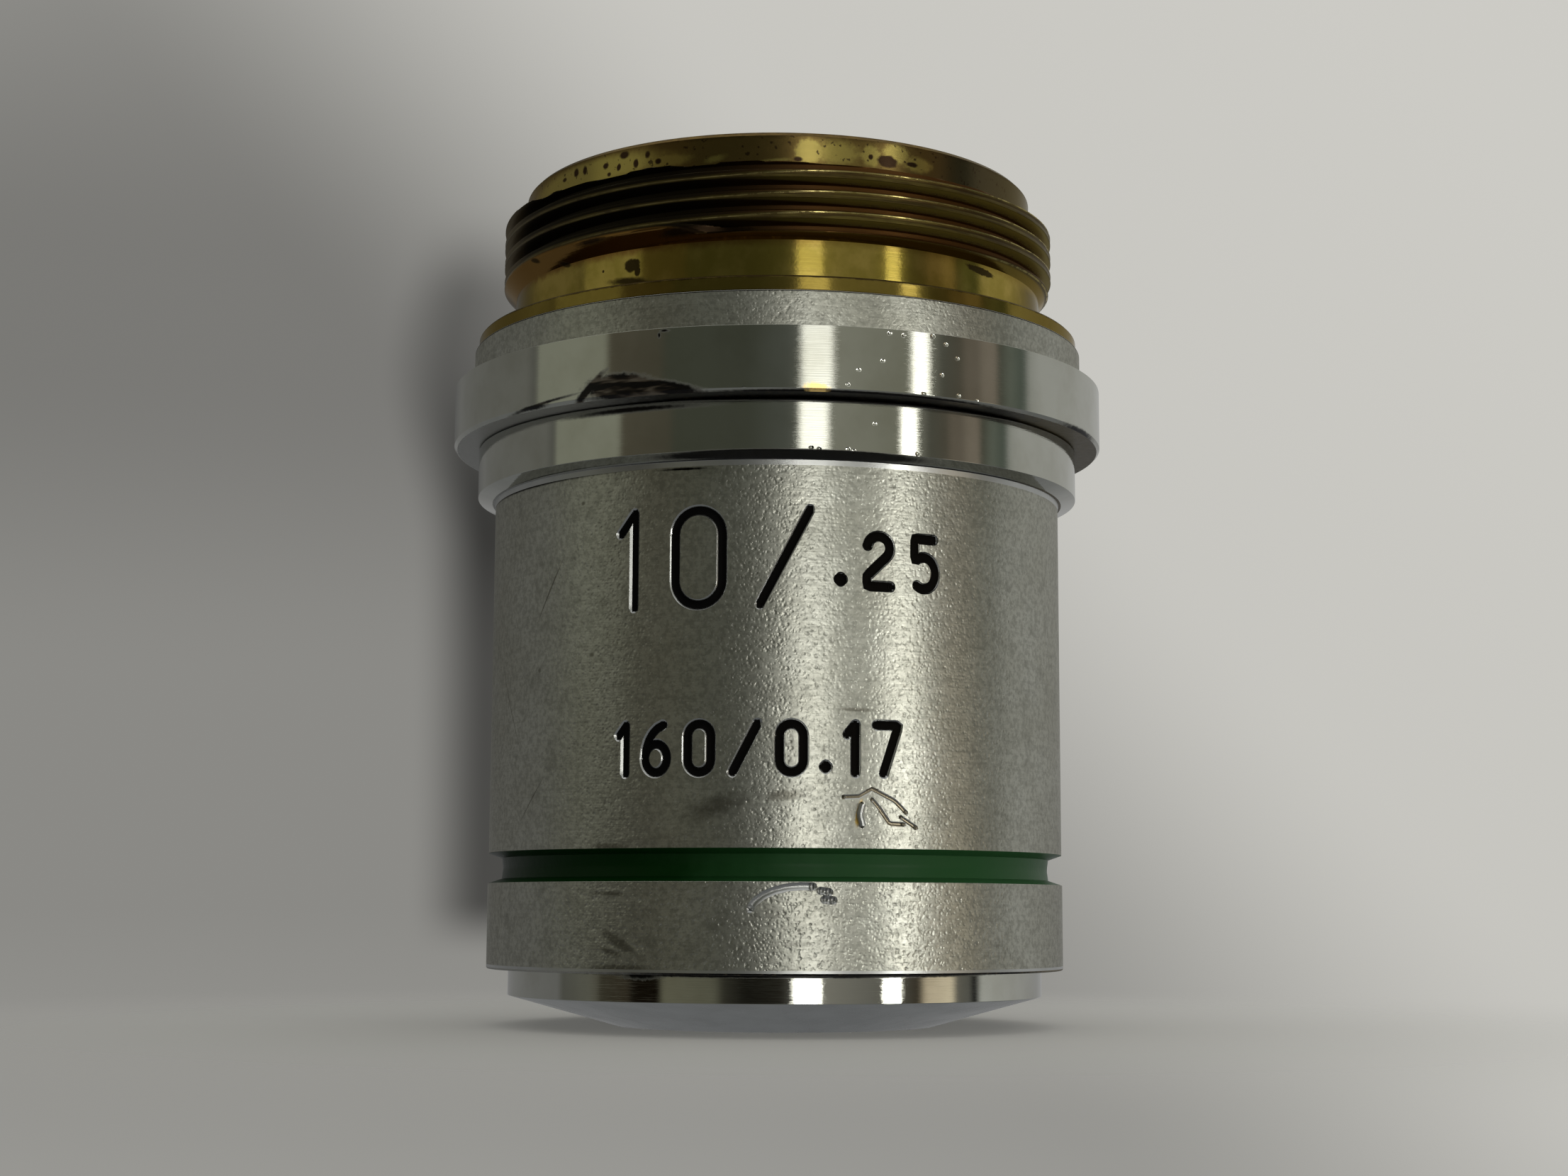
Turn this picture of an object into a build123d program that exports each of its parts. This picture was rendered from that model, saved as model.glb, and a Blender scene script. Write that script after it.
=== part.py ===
from build123d import *
import math
import os

# A 10x microscope objective of numerical aperture 0.25, in millimetres.
# The origin lies on the optical axis, in the plane of the shoulder that seats on the nosepiece.
# +Z points out of the thread end, so the nose face is the lowest point.

# Thread end, turned in brass
thread_crest_r = 10.12
thread_len = 2.69
thread_chamfer = 0.45
thread_depth = 0.45
pilot_inset = 0.80
pilot_len = 1.16
pilot_chamfer = 0.14
pilot_wall = 1.27
mouth_chamfer = 0.35
neck_len = 1.55
flange_inset = 0.14
flange_h = 0.54
flange_chamfer = 0.06
seat_relief_gap = 0.13
seat_relief_h = 0.05
spigot_wall = 1.10
spigot_lip_w = 0.90
spigot_lip_h = 0.60
spigot_end_gap = 0.80

# Shoulder collar, matt above and polished below, standing proud of the barrel
collar_satin_proud = 0.85
collar_satin_h = 1.33
collar_ring_proud = 1.54
collar_ring_h = 2.18
collar_bevel = 0.10

# Body sleeve: polished ring, matt barrel, colour groove and matt band
joint_gap = 0.14
joint_land_inset = 0.62
sleeve_ring_proud = 0.64
sleeve_ring_h = 1.63
sleeve_ring_chamfer_w = 0.52
sleeve_ring_chamfer_h = 0.17
sleeve_top_wall = 1.25
sleeve_low_wall = 1.35
barrel_h = 12.64
groove_h = 1.06
groove_depth = 0.57
groove_slant = 0.20
paint_depth = 0.10
band_proud = 0.02
band_h = 2.98
sleeve_edge = 0.06
seat_depth = 4.20

# Nose cap: polished step, shallow cone and flat face
step_inset = 0.75
step_h = 0.92
cone_h = 1.07
nose_flat_w = 0.85
cap_wall = 1.25
cap_thread_len = 2.05
cap_relief = 0.10
cap_floor_h = 1.35

# Lens tube and what holds it in the sleeve
tube_wall = 1.00
tube_head_h = 1.20
tube_lip_clear = 0.70
tube_lip_h = 0.70
tube_end_gap = 0.25
shim_h = 0.20
shim_inset = 0.30
tube_lock_h = 1.20
tube_lock_w = 2.00

# Front lens group and its cell
front_rim_r = 4.00
front_seat_w = 0.55
front_rear_radius = 10.00
front_cement_radius = 7.50
front_flint_centre = 0.90
front_crown_edge = 0.60
front_recess = 0.15
front_seat_h = 0.32
front_snout_wall = 0.78
front_body_h = 2.30
front_flare_w = 0.98

# Rear lens group and its cell
rear_rim_r = 5.60
rear_seat_w = 0.60
rear_rear_radius = 18.00
rear_cement_radius = 13.00
rear_flint_centre = 1.10
rear_crown_edge = 0.85
rear_seat_h = 0.50
rear_cell_wall = 0.96

# Rings, stop and spacer
retaining_h = 0.90
retaining_wall = 0.55
spacer_wall = 1.00
stop_h = 0.30
stop_inset = 1.00
stack_lock_h = 1.20
stack_lock_w = 1.18
stack_recess = 0.25
slot_w = 1.00
slot_depth = 0.55
slot_overrun = 1.00

# Baffle cup in the thread end
baffle_h = 4.50
baffle_wall = 0.40
baffle_floor_w = 2.48
baffle_floor_h = 0.50

# Radial clearances of the fits
thread_fit = 0.03
slide_fit = 0.02
glass_fit = 0.02
snout_fit = 0.05
cement = 0.01

# Radii, worked out from the rear glass to the outside
cell_r = rear_rim_r + glass_fit + rear_cell_wall
tube_bore_r = cell_r + slide_fit
tube_r = tube_bore_r + tube_wall
cap_thread_r = tube_r + snout_fit + cap_wall
barrel_r = cap_thread_r + thread_fit + sleeve_low_wall
spigot_r = barrel_r - sleeve_top_wall - thread_fit
spigot_bore_r = spigot_r - spigot_wall
sleeve_ring_r = barrel_r + sleeve_ring_proud
collar_satin_r = barrel_r + collar_satin_proud
collar_ring_r = barrel_r + collar_ring_proud
flange_r = collar_satin_r - flange_inset
band_r = barrel_r + band_proud
groove_floor_r = barrel_r - groove_depth
step_r = barrel_r - step_inset

# Radii of the thread end and of the front cell
neck_r = thread_crest_r - thread_depth
pilot_r = thread_crest_r - pilot_inset
pilot_bore_r = pilot_r - pilot_wall
front_bore_r = front_rim_r + glass_fit
front_snout_r = front_bore_r + front_snout_wall
nose_hole_r = front_snout_r + snout_fit
nose_flat_r = nose_hole_r + nose_flat_w

# Levels of the outside, from the shoulder up and down
pilot_low = neck_len + thread_len
pilot_top = pilot_low + pilot_len
flange_low = -flange_h
collar_step = flange_low - collar_satin_h
collar_low = collar_step - collar_ring_h
ring_top = collar_low - joint_gap
ring_low = ring_top - sleeve_ring_h
barrel_top = ring_low - sleeve_ring_chamfer_h
barrel_low = barrel_top - barrel_h
groove_low = barrel_low - groove_h
band_low = groove_low - band_h
step_low = band_low - step_h
nose_z = step_low - cone_h

# Levels of the inside
seat_z = barrel_top - seat_depth
tube_head_low = seat_z + shim_h
tube_top = tube_head_low + tube_head_h
tube_lock_top = tube_top + tube_lock_h
spigot_low = tube_lock_top + spigot_end_gap
cap_floor_z = nose_z + cap_floor_h
tube_low = cap_floor_z + tube_end_gap
tube_lip_top = tube_low + tube_lip_h
front_cell_top = tube_lip_top + front_body_h
front_cell_low = nose_z + front_recess
front_glass_low = front_cell_low + front_seat_h
stack_lock_top = tube_top - stack_recess
stack_lock_low = stack_lock_top - stack_lock_h
stop_low = stack_lock_low - stop_h


def sag(radius, rim):
    """Height of a spherical cap of this radius of curvature out to this rim."""
    return radius - math.sqrt(radius**2 - rim**2)


# Thickness of each lens group at its rim, and the levels that follow from it
front_flint_edge = front_flint_centre + sag(front_cement_radius, front_rim_r)
front_glass_edge = front_flint_edge + cement + front_crown_edge
front_ring_rise = sag(front_rear_radius, front_rim_r) - sag(front_rear_radius, front_rim_r - retaining_wall)
front_ring_low = front_glass_low + front_glass_edge + front_ring_rise
rear_flint_edge = rear_flint_centre + sag(rear_cement_radius, rear_rim_r)
rear_glass_edge = rear_flint_edge + cement + rear_crown_edge
rear_ring_rise = sag(rear_rear_radius, rear_rim_r) - sag(rear_rear_radius, rear_rim_r - retaining_wall)
rear_ring_low = stop_low - retaining_h
rear_cell_low = rear_ring_low - rear_ring_rise - rear_glass_edge - rear_seat_h
rear_glass_low = rear_cell_low + rear_seat_h


def turned(*points):
    """One turned piece from its closed half section, as (radius, height) corners."""
    section = make_face(Plane.XZ * Polyline(*points, close=True))
    return revolve(section, Axis.Z)


def ring(inner_r, outer_r, low, high):
    """A plain turned ring."""
    return turned((inner_r, low), (outer_r, low), (outer_r, high), (inner_r, high))


def spanner_slots(outer_r, top):
    """A bar that cuts two opposite slots in the top face of a lock ring, for a spanner."""
    bar = Box(2 * (outer_r + slot_overrun), slot_w, 2 * slot_depth)
    return Pos(0, 0, top) * bar


def dome(radius, rim, apex, up):
    """Arc from the axis to the rim; up is 1 where the apex is the highest point."""
    middle = (rim / 2, apex - up * sag(radius, rim / 2))
    end = (rim, apex - up * sag(radius, rim))
    return ThreePointArc((0, apex), middle, end)


def flint(low, rim, centre, cement_radius):
    """The flat-fronted element, hollow on the side where the crown is cemented."""
    hollow = dome(cement_radius, rim, low + centre, -1)
    edge = low + centre + sag(cement_radius, rim)
    wall = Polyline((rim, edge), (rim, low), (0, low), (0, low + centre))
    return revolve(make_face(Plane.XZ * (hollow + wall)), Axis.Z)


def crown(low_edge, rim, edge, cement_radius, rear_radius):
    """The biconvex element, cemented into the flint's hollow."""
    bottom = low_edge - sag(cement_radius, rim)
    top = low_edge + edge + sag(rear_radius, rim)
    lower = dome(cement_radius, rim, bottom, -1)
    upper = dome(rear_radius, rim, top, 1)
    rim_line = Line((rim, low_edge), (rim, low_edge + edge))
    axis_line = Line((0, bottom), (0, top))
    return revolve(make_face(Plane.XZ * (lower + rim_line + upper + axis_line)), Axis.Z)


def thread_mount():
    """Brass end: pilot rim, thread at its crest radius, neck, flange and the spigot below."""
    relief_r = thread_crest_r + seat_relief_gap
    return turned(
        (spigot_bore_r, spigot_low + spigot_lip_h),
        (spigot_bore_r - spigot_lip_w, spigot_low + spigot_lip_h),
        (spigot_bore_r - spigot_lip_w, spigot_low),
        (spigot_r, spigot_low),
        (spigot_r, flange_low),
        (flange_r, flange_low),
        (flange_r, -flange_chamfer),
        (flange_r - flange_chamfer, 0),
        (relief_r, 0),
        (relief_r, -seat_relief_h),
        (neck_r, -seat_relief_h),
        (neck_r, neck_len),
        (thread_crest_r, neck_len + thread_depth),
        (thread_crest_r, pilot_low - thread_chamfer),
        (pilot_r, pilot_low),
        (pilot_r, pilot_top - pilot_chamfer),
        (pilot_r - pilot_chamfer, pilot_top),
        (pilot_bore_r + mouth_chamfer, pilot_top),
        (pilot_bore_r, pilot_top - mouth_chamfer),
        (pilot_bore_r, 0),
        (spigot_bore_r, flange_low),
    )


def shoulder_collar():
    """Loose collar clamped between the flange and the sleeve."""
    return turned(
        (spigot_r + thread_fit, collar_low),
        (collar_ring_r - collar_bevel, collar_low),
        (collar_ring_r, collar_low + collar_bevel),
        (collar_ring_r, collar_step),
        (collar_satin_r, collar_step),
        (collar_satin_r, flange_low),
        (spigot_r + thread_fit, flange_low),
    )


def body_sleeve():
    """Outer tube screwed on the spigot, with the engraved barrel and the colour groove."""
    land_r = sleeve_ring_r - joint_land_inset
    tube_hole_r = tube_r + slide_fit
    cap_hole_r = cap_thread_r + thread_fit
    cap_hole_top = band_low + cap_thread_len + cap_relief
    return turned(
        (spigot_r + thread_fit, collar_low),
        (land_r, collar_low),
        (land_r, ring_top),
        (sleeve_ring_r, ring_top),
        (sleeve_ring_r, ring_low),
        (sleeve_ring_r - sleeve_ring_chamfer_w, barrel_top),
        (barrel_r, barrel_top),
        (barrel_r, barrel_low),
        (groove_floor_r, barrel_low - groove_slant),
        (groove_floor_r, groove_low + groove_slant),
        (band_r, groove_low),
        (band_r, band_low + sleeve_edge),
        (band_r - sleeve_edge, band_low),
        (cap_hole_r, band_low),
        (cap_hole_r, cap_hole_top),
        (tube_hole_r, cap_hole_top),
        (tube_hole_r, seat_z),
        (spigot_r + thread_fit, seat_z),
    )


def colour_band():
    """Lacquer run into the groove, thin on the floor and ending on both slanted walls."""
    paint_r = groove_floor_r + paint_depth
    fall = groove_slant * paint_depth / groove_depth
    return turned(
        (groove_floor_r, groove_low + groove_slant),
        (paint_r, groove_low + groove_slant - fall),
        (paint_r, barrel_low - groove_slant + fall),
        (groove_floor_r, barrel_low - groove_slant),
    )


def nose_cap():
    """Screwed cap with the polished step, the shallow cone and the hole for the front cell."""
    return turned(
        (nose_hole_r, nose_z),
        (nose_flat_r, nose_z),
        (step_r, step_low),
        (step_r, band_low),
        (cap_thread_r, band_low),
        (cap_thread_r, band_low + cap_thread_len),
        (tube_r + snout_fit, band_low + cap_thread_len),
        (tube_r + snout_fit, cap_floor_z),
        (nose_hole_r, cap_floor_z),
    )


def lens_tube():
    """Inner tube that carries both lens groups, with a head above and a lip below."""
    lip_r = front_snout_r + tube_lip_clear
    return turned(
        (lip_r, tube_low),
        (tube_r, tube_low),
        (tube_r, tube_head_low),
        (spigot_r - slide_fit, tube_head_low),
        (spigot_r - slide_fit, tube_top),
        (tube_bore_r, tube_top),
        (tube_bore_r, tube_lip_top),
        (lip_r, tube_lip_top),
    )


def front_cell():
    """Cell with a shoulder on the tube's lip and a snout that reaches the nose face."""
    clear_r = front_rim_r - front_seat_w
    return turned(
        (clear_r, front_cell_low),
        (front_snout_r, front_cell_low),
        (front_snout_r, tube_lip_top),
        (cell_r, tube_lip_top),
        (cell_r, front_cell_top),
        (front_bore_r + front_flare_w, front_cell_top),
        (front_bore_r, front_ring_low + retaining_h),
        (front_bore_r, front_glass_low),
        (clear_r, front_glass_low),
    )


def front_flint():
    return flint(front_glass_low, front_rim_r, front_flint_centre, front_cement_radius)


def front_crown():
    low_edge = front_glass_low + front_flint_edge + cement
    return crown(low_edge, front_rim_r, front_crown_edge, front_cement_radius, front_rear_radius)


def front_lens_ring():
    top = front_ring_low + retaining_h
    body = ring(front_rim_r - retaining_wall, front_rim_r, front_ring_low, top)
    return body - spanner_slots(front_rim_r, top)


def cell_spacer():
    """Plain tube that sets the distance between the two cells."""
    return ring(cell_r - spacer_wall, cell_r, front_cell_top, rear_cell_low)


def rear_cell():
    """Short cell with a seat below the glass."""
    clear_r = rear_rim_r - rear_seat_w
    return turned(
        (clear_r, rear_cell_low),
        (cell_r, rear_cell_low),
        (cell_r, stop_low),
        (rear_rim_r + glass_fit, stop_low),
        (rear_rim_r + glass_fit, rear_glass_low),
        (clear_r, rear_glass_low),
    )


def rear_flint():
    return flint(rear_glass_low, rear_rim_r, rear_flint_centre, rear_cement_radius)


def rear_crown():
    low_edge = rear_glass_low + rear_flint_edge + cement
    return crown(low_edge, rear_rim_r, rear_crown_edge, rear_cement_radius, rear_rear_radius)


def rear_lens_ring():
    body = ring(rear_rim_r - retaining_wall, rear_rim_r, rear_ring_low, stop_low)
    return body - spanner_slots(rear_rim_r, stop_low)


def aperture_stop():
    """Thin disc whose hole sets the aperture of the objective."""
    return ring(rear_rim_r - stop_inset, cell_r, stop_low, stack_lock_low)


def stack_lock_ring():
    """Screwed ring that clamps the stop, both cells and the spacer on the tube's lip."""
    body = ring(cell_r - stack_lock_w, cell_r, stack_lock_low, stack_lock_top)
    return body - spanner_slots(cell_r, stack_lock_top)


def parfocal_shim():
    """Ring under the tube's head that sets the focus of the finished objective."""
    return ring(tube_r + shim_inset, spigot_r, seat_z, tube_head_low)


def tube_lock_ring():
    """Screwed ring that clamps the tube's head and the shim on the sleeve's seat."""
    body = ring(spigot_r - tube_lock_w, spigot_r, tube_top, tube_lock_top)
    return body - spanner_slots(spigot_r, tube_lock_top)


def baffle_cup():
    """Blackened cup in the thread end that stops stray light."""
    low = spigot_low + spigot_lip_h
    outer_r = spigot_bore_r - slide_fit
    return turned(
        (outer_r - baffle_floor_w, low),
        (outer_r, low),
        (outer_r, low + baffle_h),
        (outer_r - baffle_wall, low + baffle_h),
        (outer_r - baffle_wall, low + baffle_floor_h),
        (outer_r - baffle_floor_w, low + baffle_floor_h),
    )


pieces = [
    thread_mount,
    baffle_cup,
    shoulder_collar,
    body_sleeve,
    colour_band,
    nose_cap,
    parfocal_shim,
    lens_tube,
    tube_lock_ring,
    stack_lock_ring,
    aperture_stop,
    rear_cell,
    rear_crown,
    rear_flint,
    rear_lens_ring,
    cell_spacer,
    front_cell,
    front_crown,
    front_flint,
    front_lens_ring,
]

os.makedirs("parts", exist_ok=True)
for piece in pieces:
    export_step(piece(), f"parts/{piece.__name__}.step")
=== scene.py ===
# %% [markdown]
# A 10x microscope objective: brass thread end, plated collar and sleeve, green ring, nose cap.
# The real object is a stack of turned rings, so almost every surface is a surface of revolution.
# What makes it look real is the rest: the thread, the engraved figures, the difference between
# polished, bead-blasted and tarnished metal, and the marks that years of use have left.

# %% Load the frame
import math

import bmesh
import bpy
import numpy as np
from mathutils import Matrix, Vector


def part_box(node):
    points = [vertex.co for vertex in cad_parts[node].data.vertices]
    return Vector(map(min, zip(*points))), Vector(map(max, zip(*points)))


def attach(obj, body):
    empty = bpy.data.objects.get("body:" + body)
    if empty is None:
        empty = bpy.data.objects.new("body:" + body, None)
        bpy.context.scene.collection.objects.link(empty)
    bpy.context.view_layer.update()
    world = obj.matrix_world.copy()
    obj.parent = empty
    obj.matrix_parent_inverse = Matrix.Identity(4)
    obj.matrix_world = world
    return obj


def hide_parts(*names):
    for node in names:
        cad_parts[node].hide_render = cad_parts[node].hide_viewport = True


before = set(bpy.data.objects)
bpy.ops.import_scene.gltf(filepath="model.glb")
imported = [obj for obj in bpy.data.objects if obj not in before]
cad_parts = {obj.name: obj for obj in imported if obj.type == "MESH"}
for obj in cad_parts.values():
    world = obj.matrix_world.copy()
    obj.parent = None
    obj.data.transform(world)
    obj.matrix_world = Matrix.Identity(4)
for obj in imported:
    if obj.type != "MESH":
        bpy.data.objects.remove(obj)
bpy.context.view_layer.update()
print("nodes in the frame:", sorted(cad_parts))

# %% [markdown]
# The frame is in metres, but turned parts this small are thought of in millimetres.
# Lengths below are written in millimetres and multiplied by MM where a mesh is made.
# The outer radius and the two ends of each node come from the frame, so the new skins stay
# where the solids are, and only sizes that the frame's boxes don't show are named again.

# %% Sizes read from the frame
MM = 0.001


def span(node):
    """Outer radius, lowest level and highest level of a node, in millimetres."""
    low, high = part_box(node)
    return high.x / MM, low.z / MM, high.z / MM


flange_r, spigot_low, mouth_z = span("thread_mount")
collar_r, collar_low, flange_low = span("shoulder_collar")
ring_r, band_low, _ = span("body_sleeve")
paint_r, paint_low, paint_top = span("colour_band")
step_r, nose_z, cap_top = span("nose_cap")
print(f"from the mouth at {mouth_z:.2f} mm to the nose at {nose_z:.2f} mm")

# %% [markdown]
# The photograph was taken from close by, about a hand's breadth away and nearly square to the
# barrel. A close camera matters: it makes the rings curve upwards and the thread end look seen
# from below. The focal length is written for a 36 mm wide sensor.

# %% The camera
EYE = (0.28, -87.93, -20.62)
PITCH = 7.61
ROLL = 0.237
LENS = 55.5
NEAREST = 0.005

scene = bpy.context.scene


def new_object(name, data):
    """A new object of the scene, at the origin."""
    made = bpy.data.objects.new(name, data)
    scene.collection.objects.link(made)
    return made


camera = new_object("camera", bpy.data.cameras.new("camera"))
camera.data.lens = LENS
camera.data.clip_start = NEAREST
upright = Matrix.Rotation(math.radians(90 + PITCH), 4, "X")
tipped = Matrix.Rotation(math.radians(ROLL), 4, "Z")
camera.matrix_world = Matrix.Translation([value * MM for value in EYE]) @ upright @ tipped
scene.camera = camera
scene.view_settings.view_transform = "Standard"
print(f"camera {abs(EYE[1]):.0f} mm in front of the axis, tilted up {PITCH} degrees")

# %% [markdown]
# Every finish here is a small node tree. Writing each node out in full would hide the idea of
# the finish, so a Board adds nodes by short calls: it takes numbers or other nodes' outputs
# alike, and hands back the output that the next node reads.

# %% A board for node trees
def colour(value):
    """A colour as four numbers; an output passes through."""
    return value if isinstance(value, bpy.types.NodeSocket) else (*value, 1.0)


def spaced(values):
    """Pairs of socket name and value; an underscore in a name stands for a space."""
    return [(name.replace("_", " "), value) for name, value in values.items()]


class Board:
    """Short calls that add nodes to one node tree."""

    def __init__(self, tree):
        self.tree = tree
        tree.nodes.clear()

    def add(self, kind, inputs=(), **settings):
        """Adds a node and returns its outputs; inputs holds (socket, value or output) pairs."""
        node = self.tree.nodes.new(kind)
        for name, value in settings.items():
            setattr(node, name, value)
        for name, value in inputs:
            if isinstance(value, bpy.types.NodeSocket):
                self.tree.links.new(value, node.inputs[name])
            else:
                node.inputs[name].default_value = value
        return node.outputs

    def calc(self, operation, *values):
        """Sets the operation between the values, from the first to the last."""
        total, *others = values
        for other in others or [0.0]:
            total = self.add("ShaderNodeMath", [(0, total), (1, other)], operation=operation)[0]
        return total

    def plus(self, *values):
        return self.calc("ADD", *values)

    def minus(self, a, b):
        return self.calc("SUBTRACT", a, b)

    def times(self, *values):
        return self.calc("MULTIPLY", *values)

    def over(self, a, b):
        return self.calc("DIVIDE", a, b)

    def most(self, *masks):
        """The strongest of several masks."""
        return self.calc("MAXIMUM", *masks)

    def ease(self, value, low, high, kind="SMOOTHSTEP"):
        """0 up to low, 1 from high on, and a smooth rise between them (or a fall, if high is lower)."""
        inputs = [("Value", value), ("From Min", low), ("From Max", high)]
        return self.add("ShaderNodeMapRange", inputs, interpolation_type=kind)[0]

    def near(self, value, centre, far, close):
        """1 where the value is nearer to the centre than close, and 0 past far."""
        return self.ease(self.calc("ABSOLUTE", self.minus(value, centre)), far, close)

    def remap(self, value, low, high):
        """A value from 0 to 1 turned into one from low to high."""
        return self.add("ShaderNodeMapRange", [("Value", value), ("To Min", low), ("To Max", high)])[0]

    def between(self, share, a, b):
        """Number a where share is 0, number b where it is 1."""
        return self.add("ShaderNodeMix", [(0, share), (2, a), (3, b)], data_type="FLOAT")[0]

    def colours(self, share, a, b):
        """Colour a where share is 0, colour b where it is 1."""
        return self.add("ShaderNodeMix", [(0, share), (6, colour(a)), (7, colour(b))], data_type="RGBA")[2]

    def tint(self, base, tone, mask, share=None):
        """The base with a tone over it where the mask is 1; a share makes the tone thinner."""
        return self.colours(self.times(mask, share) if share else mask, base, tone)

    def axes(self, vector):
        return self.add("ShaderNodeSeparateXYZ", [(0, vector)])

    def point(self, x, y, z=0.0):
        return self.add("ShaderNodeCombineXYZ", [(0, x), (1, y), (2, z)])[0]

    def around(self, x, y):
        """Angle from the front in radians, growing to the right."""
        return self.calc("ARCTAN2", x, self.times(y, -1.0))

    def off_axis(self, x, y):
        return self.calc("SQRT", self.plus(self.times(x, x), self.times(y, y)))

    def place(self, vector, scale=(1, 1, 1), location=(0, 0, 0), rotation=0.0, kind="POINT"):
        """Moves, turns about Z and scales a pattern's coordinates."""
        inputs = {"Vector": vector, "Location": location, "Rotation": (0, 0, rotation), "Scale": scale}
        return self.add("ShaderNodeMapping", inputs.items(), vector_type=kind)[0]

    def noise(self, vector, scale, detail=2.0, rough=0.5):
        inputs = {"Vector": vector, "Scale": scale, "Detail": detail, "Roughness": rough}
        return self.add("ShaderNodeTexNoise", inputs.items())["Fac"]

    def bump(self, height, depth, below=None):
        """A bump of this depth in millimetres, laid over the normal that comes from below."""
        inputs = [("Height", height), ("Distance", depth * MM)] + ([("Normal", below)] if below else [])
        return self.add("ShaderNodeBump", inputs)[0]

    def millimetres(self):
        """Position on the object in millimetres."""
        return self.place(self.add("ShaderNodeTexCoord")["Object"], scale=(1 / MM, 1 / MM, 1 / MM))


# %% [markdown]
# Patterns read Object coordinates, because each piece's object sits at the origin of the shared
# frame. Two maps are enough. The solid map is the plain position in millimetres: noise read
# there has no seam. The flat map unrolls the cylinder, so that a mark can be put at an angle
# from the front and a height, as one would mark it on a label wrapped round the barrel.

# %% The board of a finish, with two maps of the surface
class Finish(Board):
    """The board of one new material."""

    def __init__(self, name, radius=None):
        self.material = bpy.data.materials.new(name)
        self.material.use_nodes = True
        super().__init__(self.material.node_tree)
        self.radius = radius
        self.solid = self.millimetres()
        if radius:
            x, y, z = self.axes(self.solid)
            self.flat = self.point(self.times(self.around(x, y), radius), z)

    def mark(self, degrees, height, half_length, half_width, tilt=0.0, ragged=0.0, soft=0.25):
        """An oval mark, 1 inside and 0 outside; ragged breaks up its edge and soft blurs it."""
        centre = (math.radians(degrees) * self.radius, height, 0)
        local = self.place(self.flat, (half_length, half_width, 1), centre, math.radians(tilt), "TEXTURE")
        away = self.add("ShaderNodeVectorMath", [(0, local)], operation="LENGTH")["Value"]
        if ragged:
            away = self.plus(away, self.remap(self.noise(self.flat, 5.0, 3.0, 0.65), -ragged, ragged))
        return self.ease(away, 1.0 + soft, 1.0 - soft)

    def marks(self, places):
        """All the marks of a list as one mask, or nothing where the list is empty."""
        return self.most(*[self.mark(*place) for place in places]) if places else 0.0

    def tool_lines(self, fineness):
        """Fine lines round the axis: noise stretched along the turn."""
        return self.noise(self.place(self.solid, scale=(0.5, 0.5, fineness)), 1.0, 3.0, 0.6)

    def done(self, **sockets):
        """Adds the shader with these sockets and returns the material."""
        shader = self.add("ShaderNodeBsdfPrincipled", spaced(sockets))[0]
        self.add("ShaderNodeOutputMaterial", [("Surface", shader)])
        return self.material


# %% [markdown]
# The plating is nickel over brass, and it shows three finishes. The collar ring, the sleeve
# ring and the step of the cap are polished: they mirror the room in upright stripes, because a
# cylinder mirrors what is beside it squeezed in width only. The tool has left very fine lines
# round the axis, and they break up the edges of each bright stripe.

# %% Polished plating
NICKEL = (0.60, 0.605, 0.545)
NICKEL_WORN = (0.53, 0.53, 0.465)
# Near-black of the seams and joints: dirt, and painted shade and painted dark reflections.
GRIME_AND_SHADE = (0.005, 0.004, 0.0035)
SMEARED = (0.085, 0.062, 0.040)
GOLDEN = (1.0, 0.70, 0.26)
DENT = (0.055, 0.045, 0, 0.3, 0.9)


def polished_plate(name, seams=(), smears=(), dents=(), fleck=None):
    """Mirror plating; seams are dark lines, partly dirt and partly painted shade and painted dark
    reflections; smears are wiped grease and dents are small hits.
    """
    board = Finish(name, collar_r)
    film = board.noise(board.solid, 0.6, 3.0, 0.55)
    streaks = board.noise(board.place(board.flat, scale=(0.8, 4.0, 1.0), rotation=-0.50), 1.0, 2.0, 0.5)
    dirt_and_shade, wiped = board.marks(seams), board.marks(smears)
    base = board.colours(board.ease(film, 0.35, 0.75), NICKEL, NICKEL_WORN)
    grease = board.colours(board.ease(streaks, 0.46, 0.66), GRIME_AND_SHADE, SMEARED)
    base = board.tint(base, grease, wiped, board.remap(board.ease(streaks, 0.70, 0.50), 0.86, 1.0))
    # Painted near-black along the seams: dirt in places, and in others painted shade in the gaps and painted
    # dark reflections on the lower chamfers.
    base = board.tint(base, GRIME_AND_SHADE, dirt_and_shade)
    if fleck:
        base = board.tint(base, GOLDEN, board.mark(*fleck))
    matt = board.most(dirt_and_shade, wiped)
    hits = board.marks([(*place, *DENT) for place in dents])
    return board.done(
        Base_Color=base,
        Metallic=board.remap(matt, 1.0, 0.15),
        Roughness=board.plus(board.remap(film, 0.03, 0.075), board.times(matt, 0.24)),
        Specular_IOR_Level=0.25,
        Normal=board.bump(hits, -0.016, board.bump(board.tool_lines(30.0), 0.0016)),
    )


# %% [markdown]
# The barrel, the band and the top of the collar were blasted with fine glass beads. Each bead
# left a shallow round bowl, and each bowl is a tiny mirror, so the edge of a highlight breaks
# into sparks. Cell patterns of three sizes give the bowls, each smooth at its rim, because a
# noise bump looks like leather here. A middling roughness gives the wide soft highlight around
# the sparks, and a fine grain in the colour gives the worn grey between them.

# %% Bead-blasted plating
BEADS = [(0.21, 1.0), (0.17, 1.0), (0.12, 0.7)]
BOWL_CURVE = 5.0
SHALLOWEST = 0.35
EDGE_TINT = (0.72, 0.71, 0.68, 1.0)
BRASSY = (0.62, 0.42, 0.10)


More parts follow.
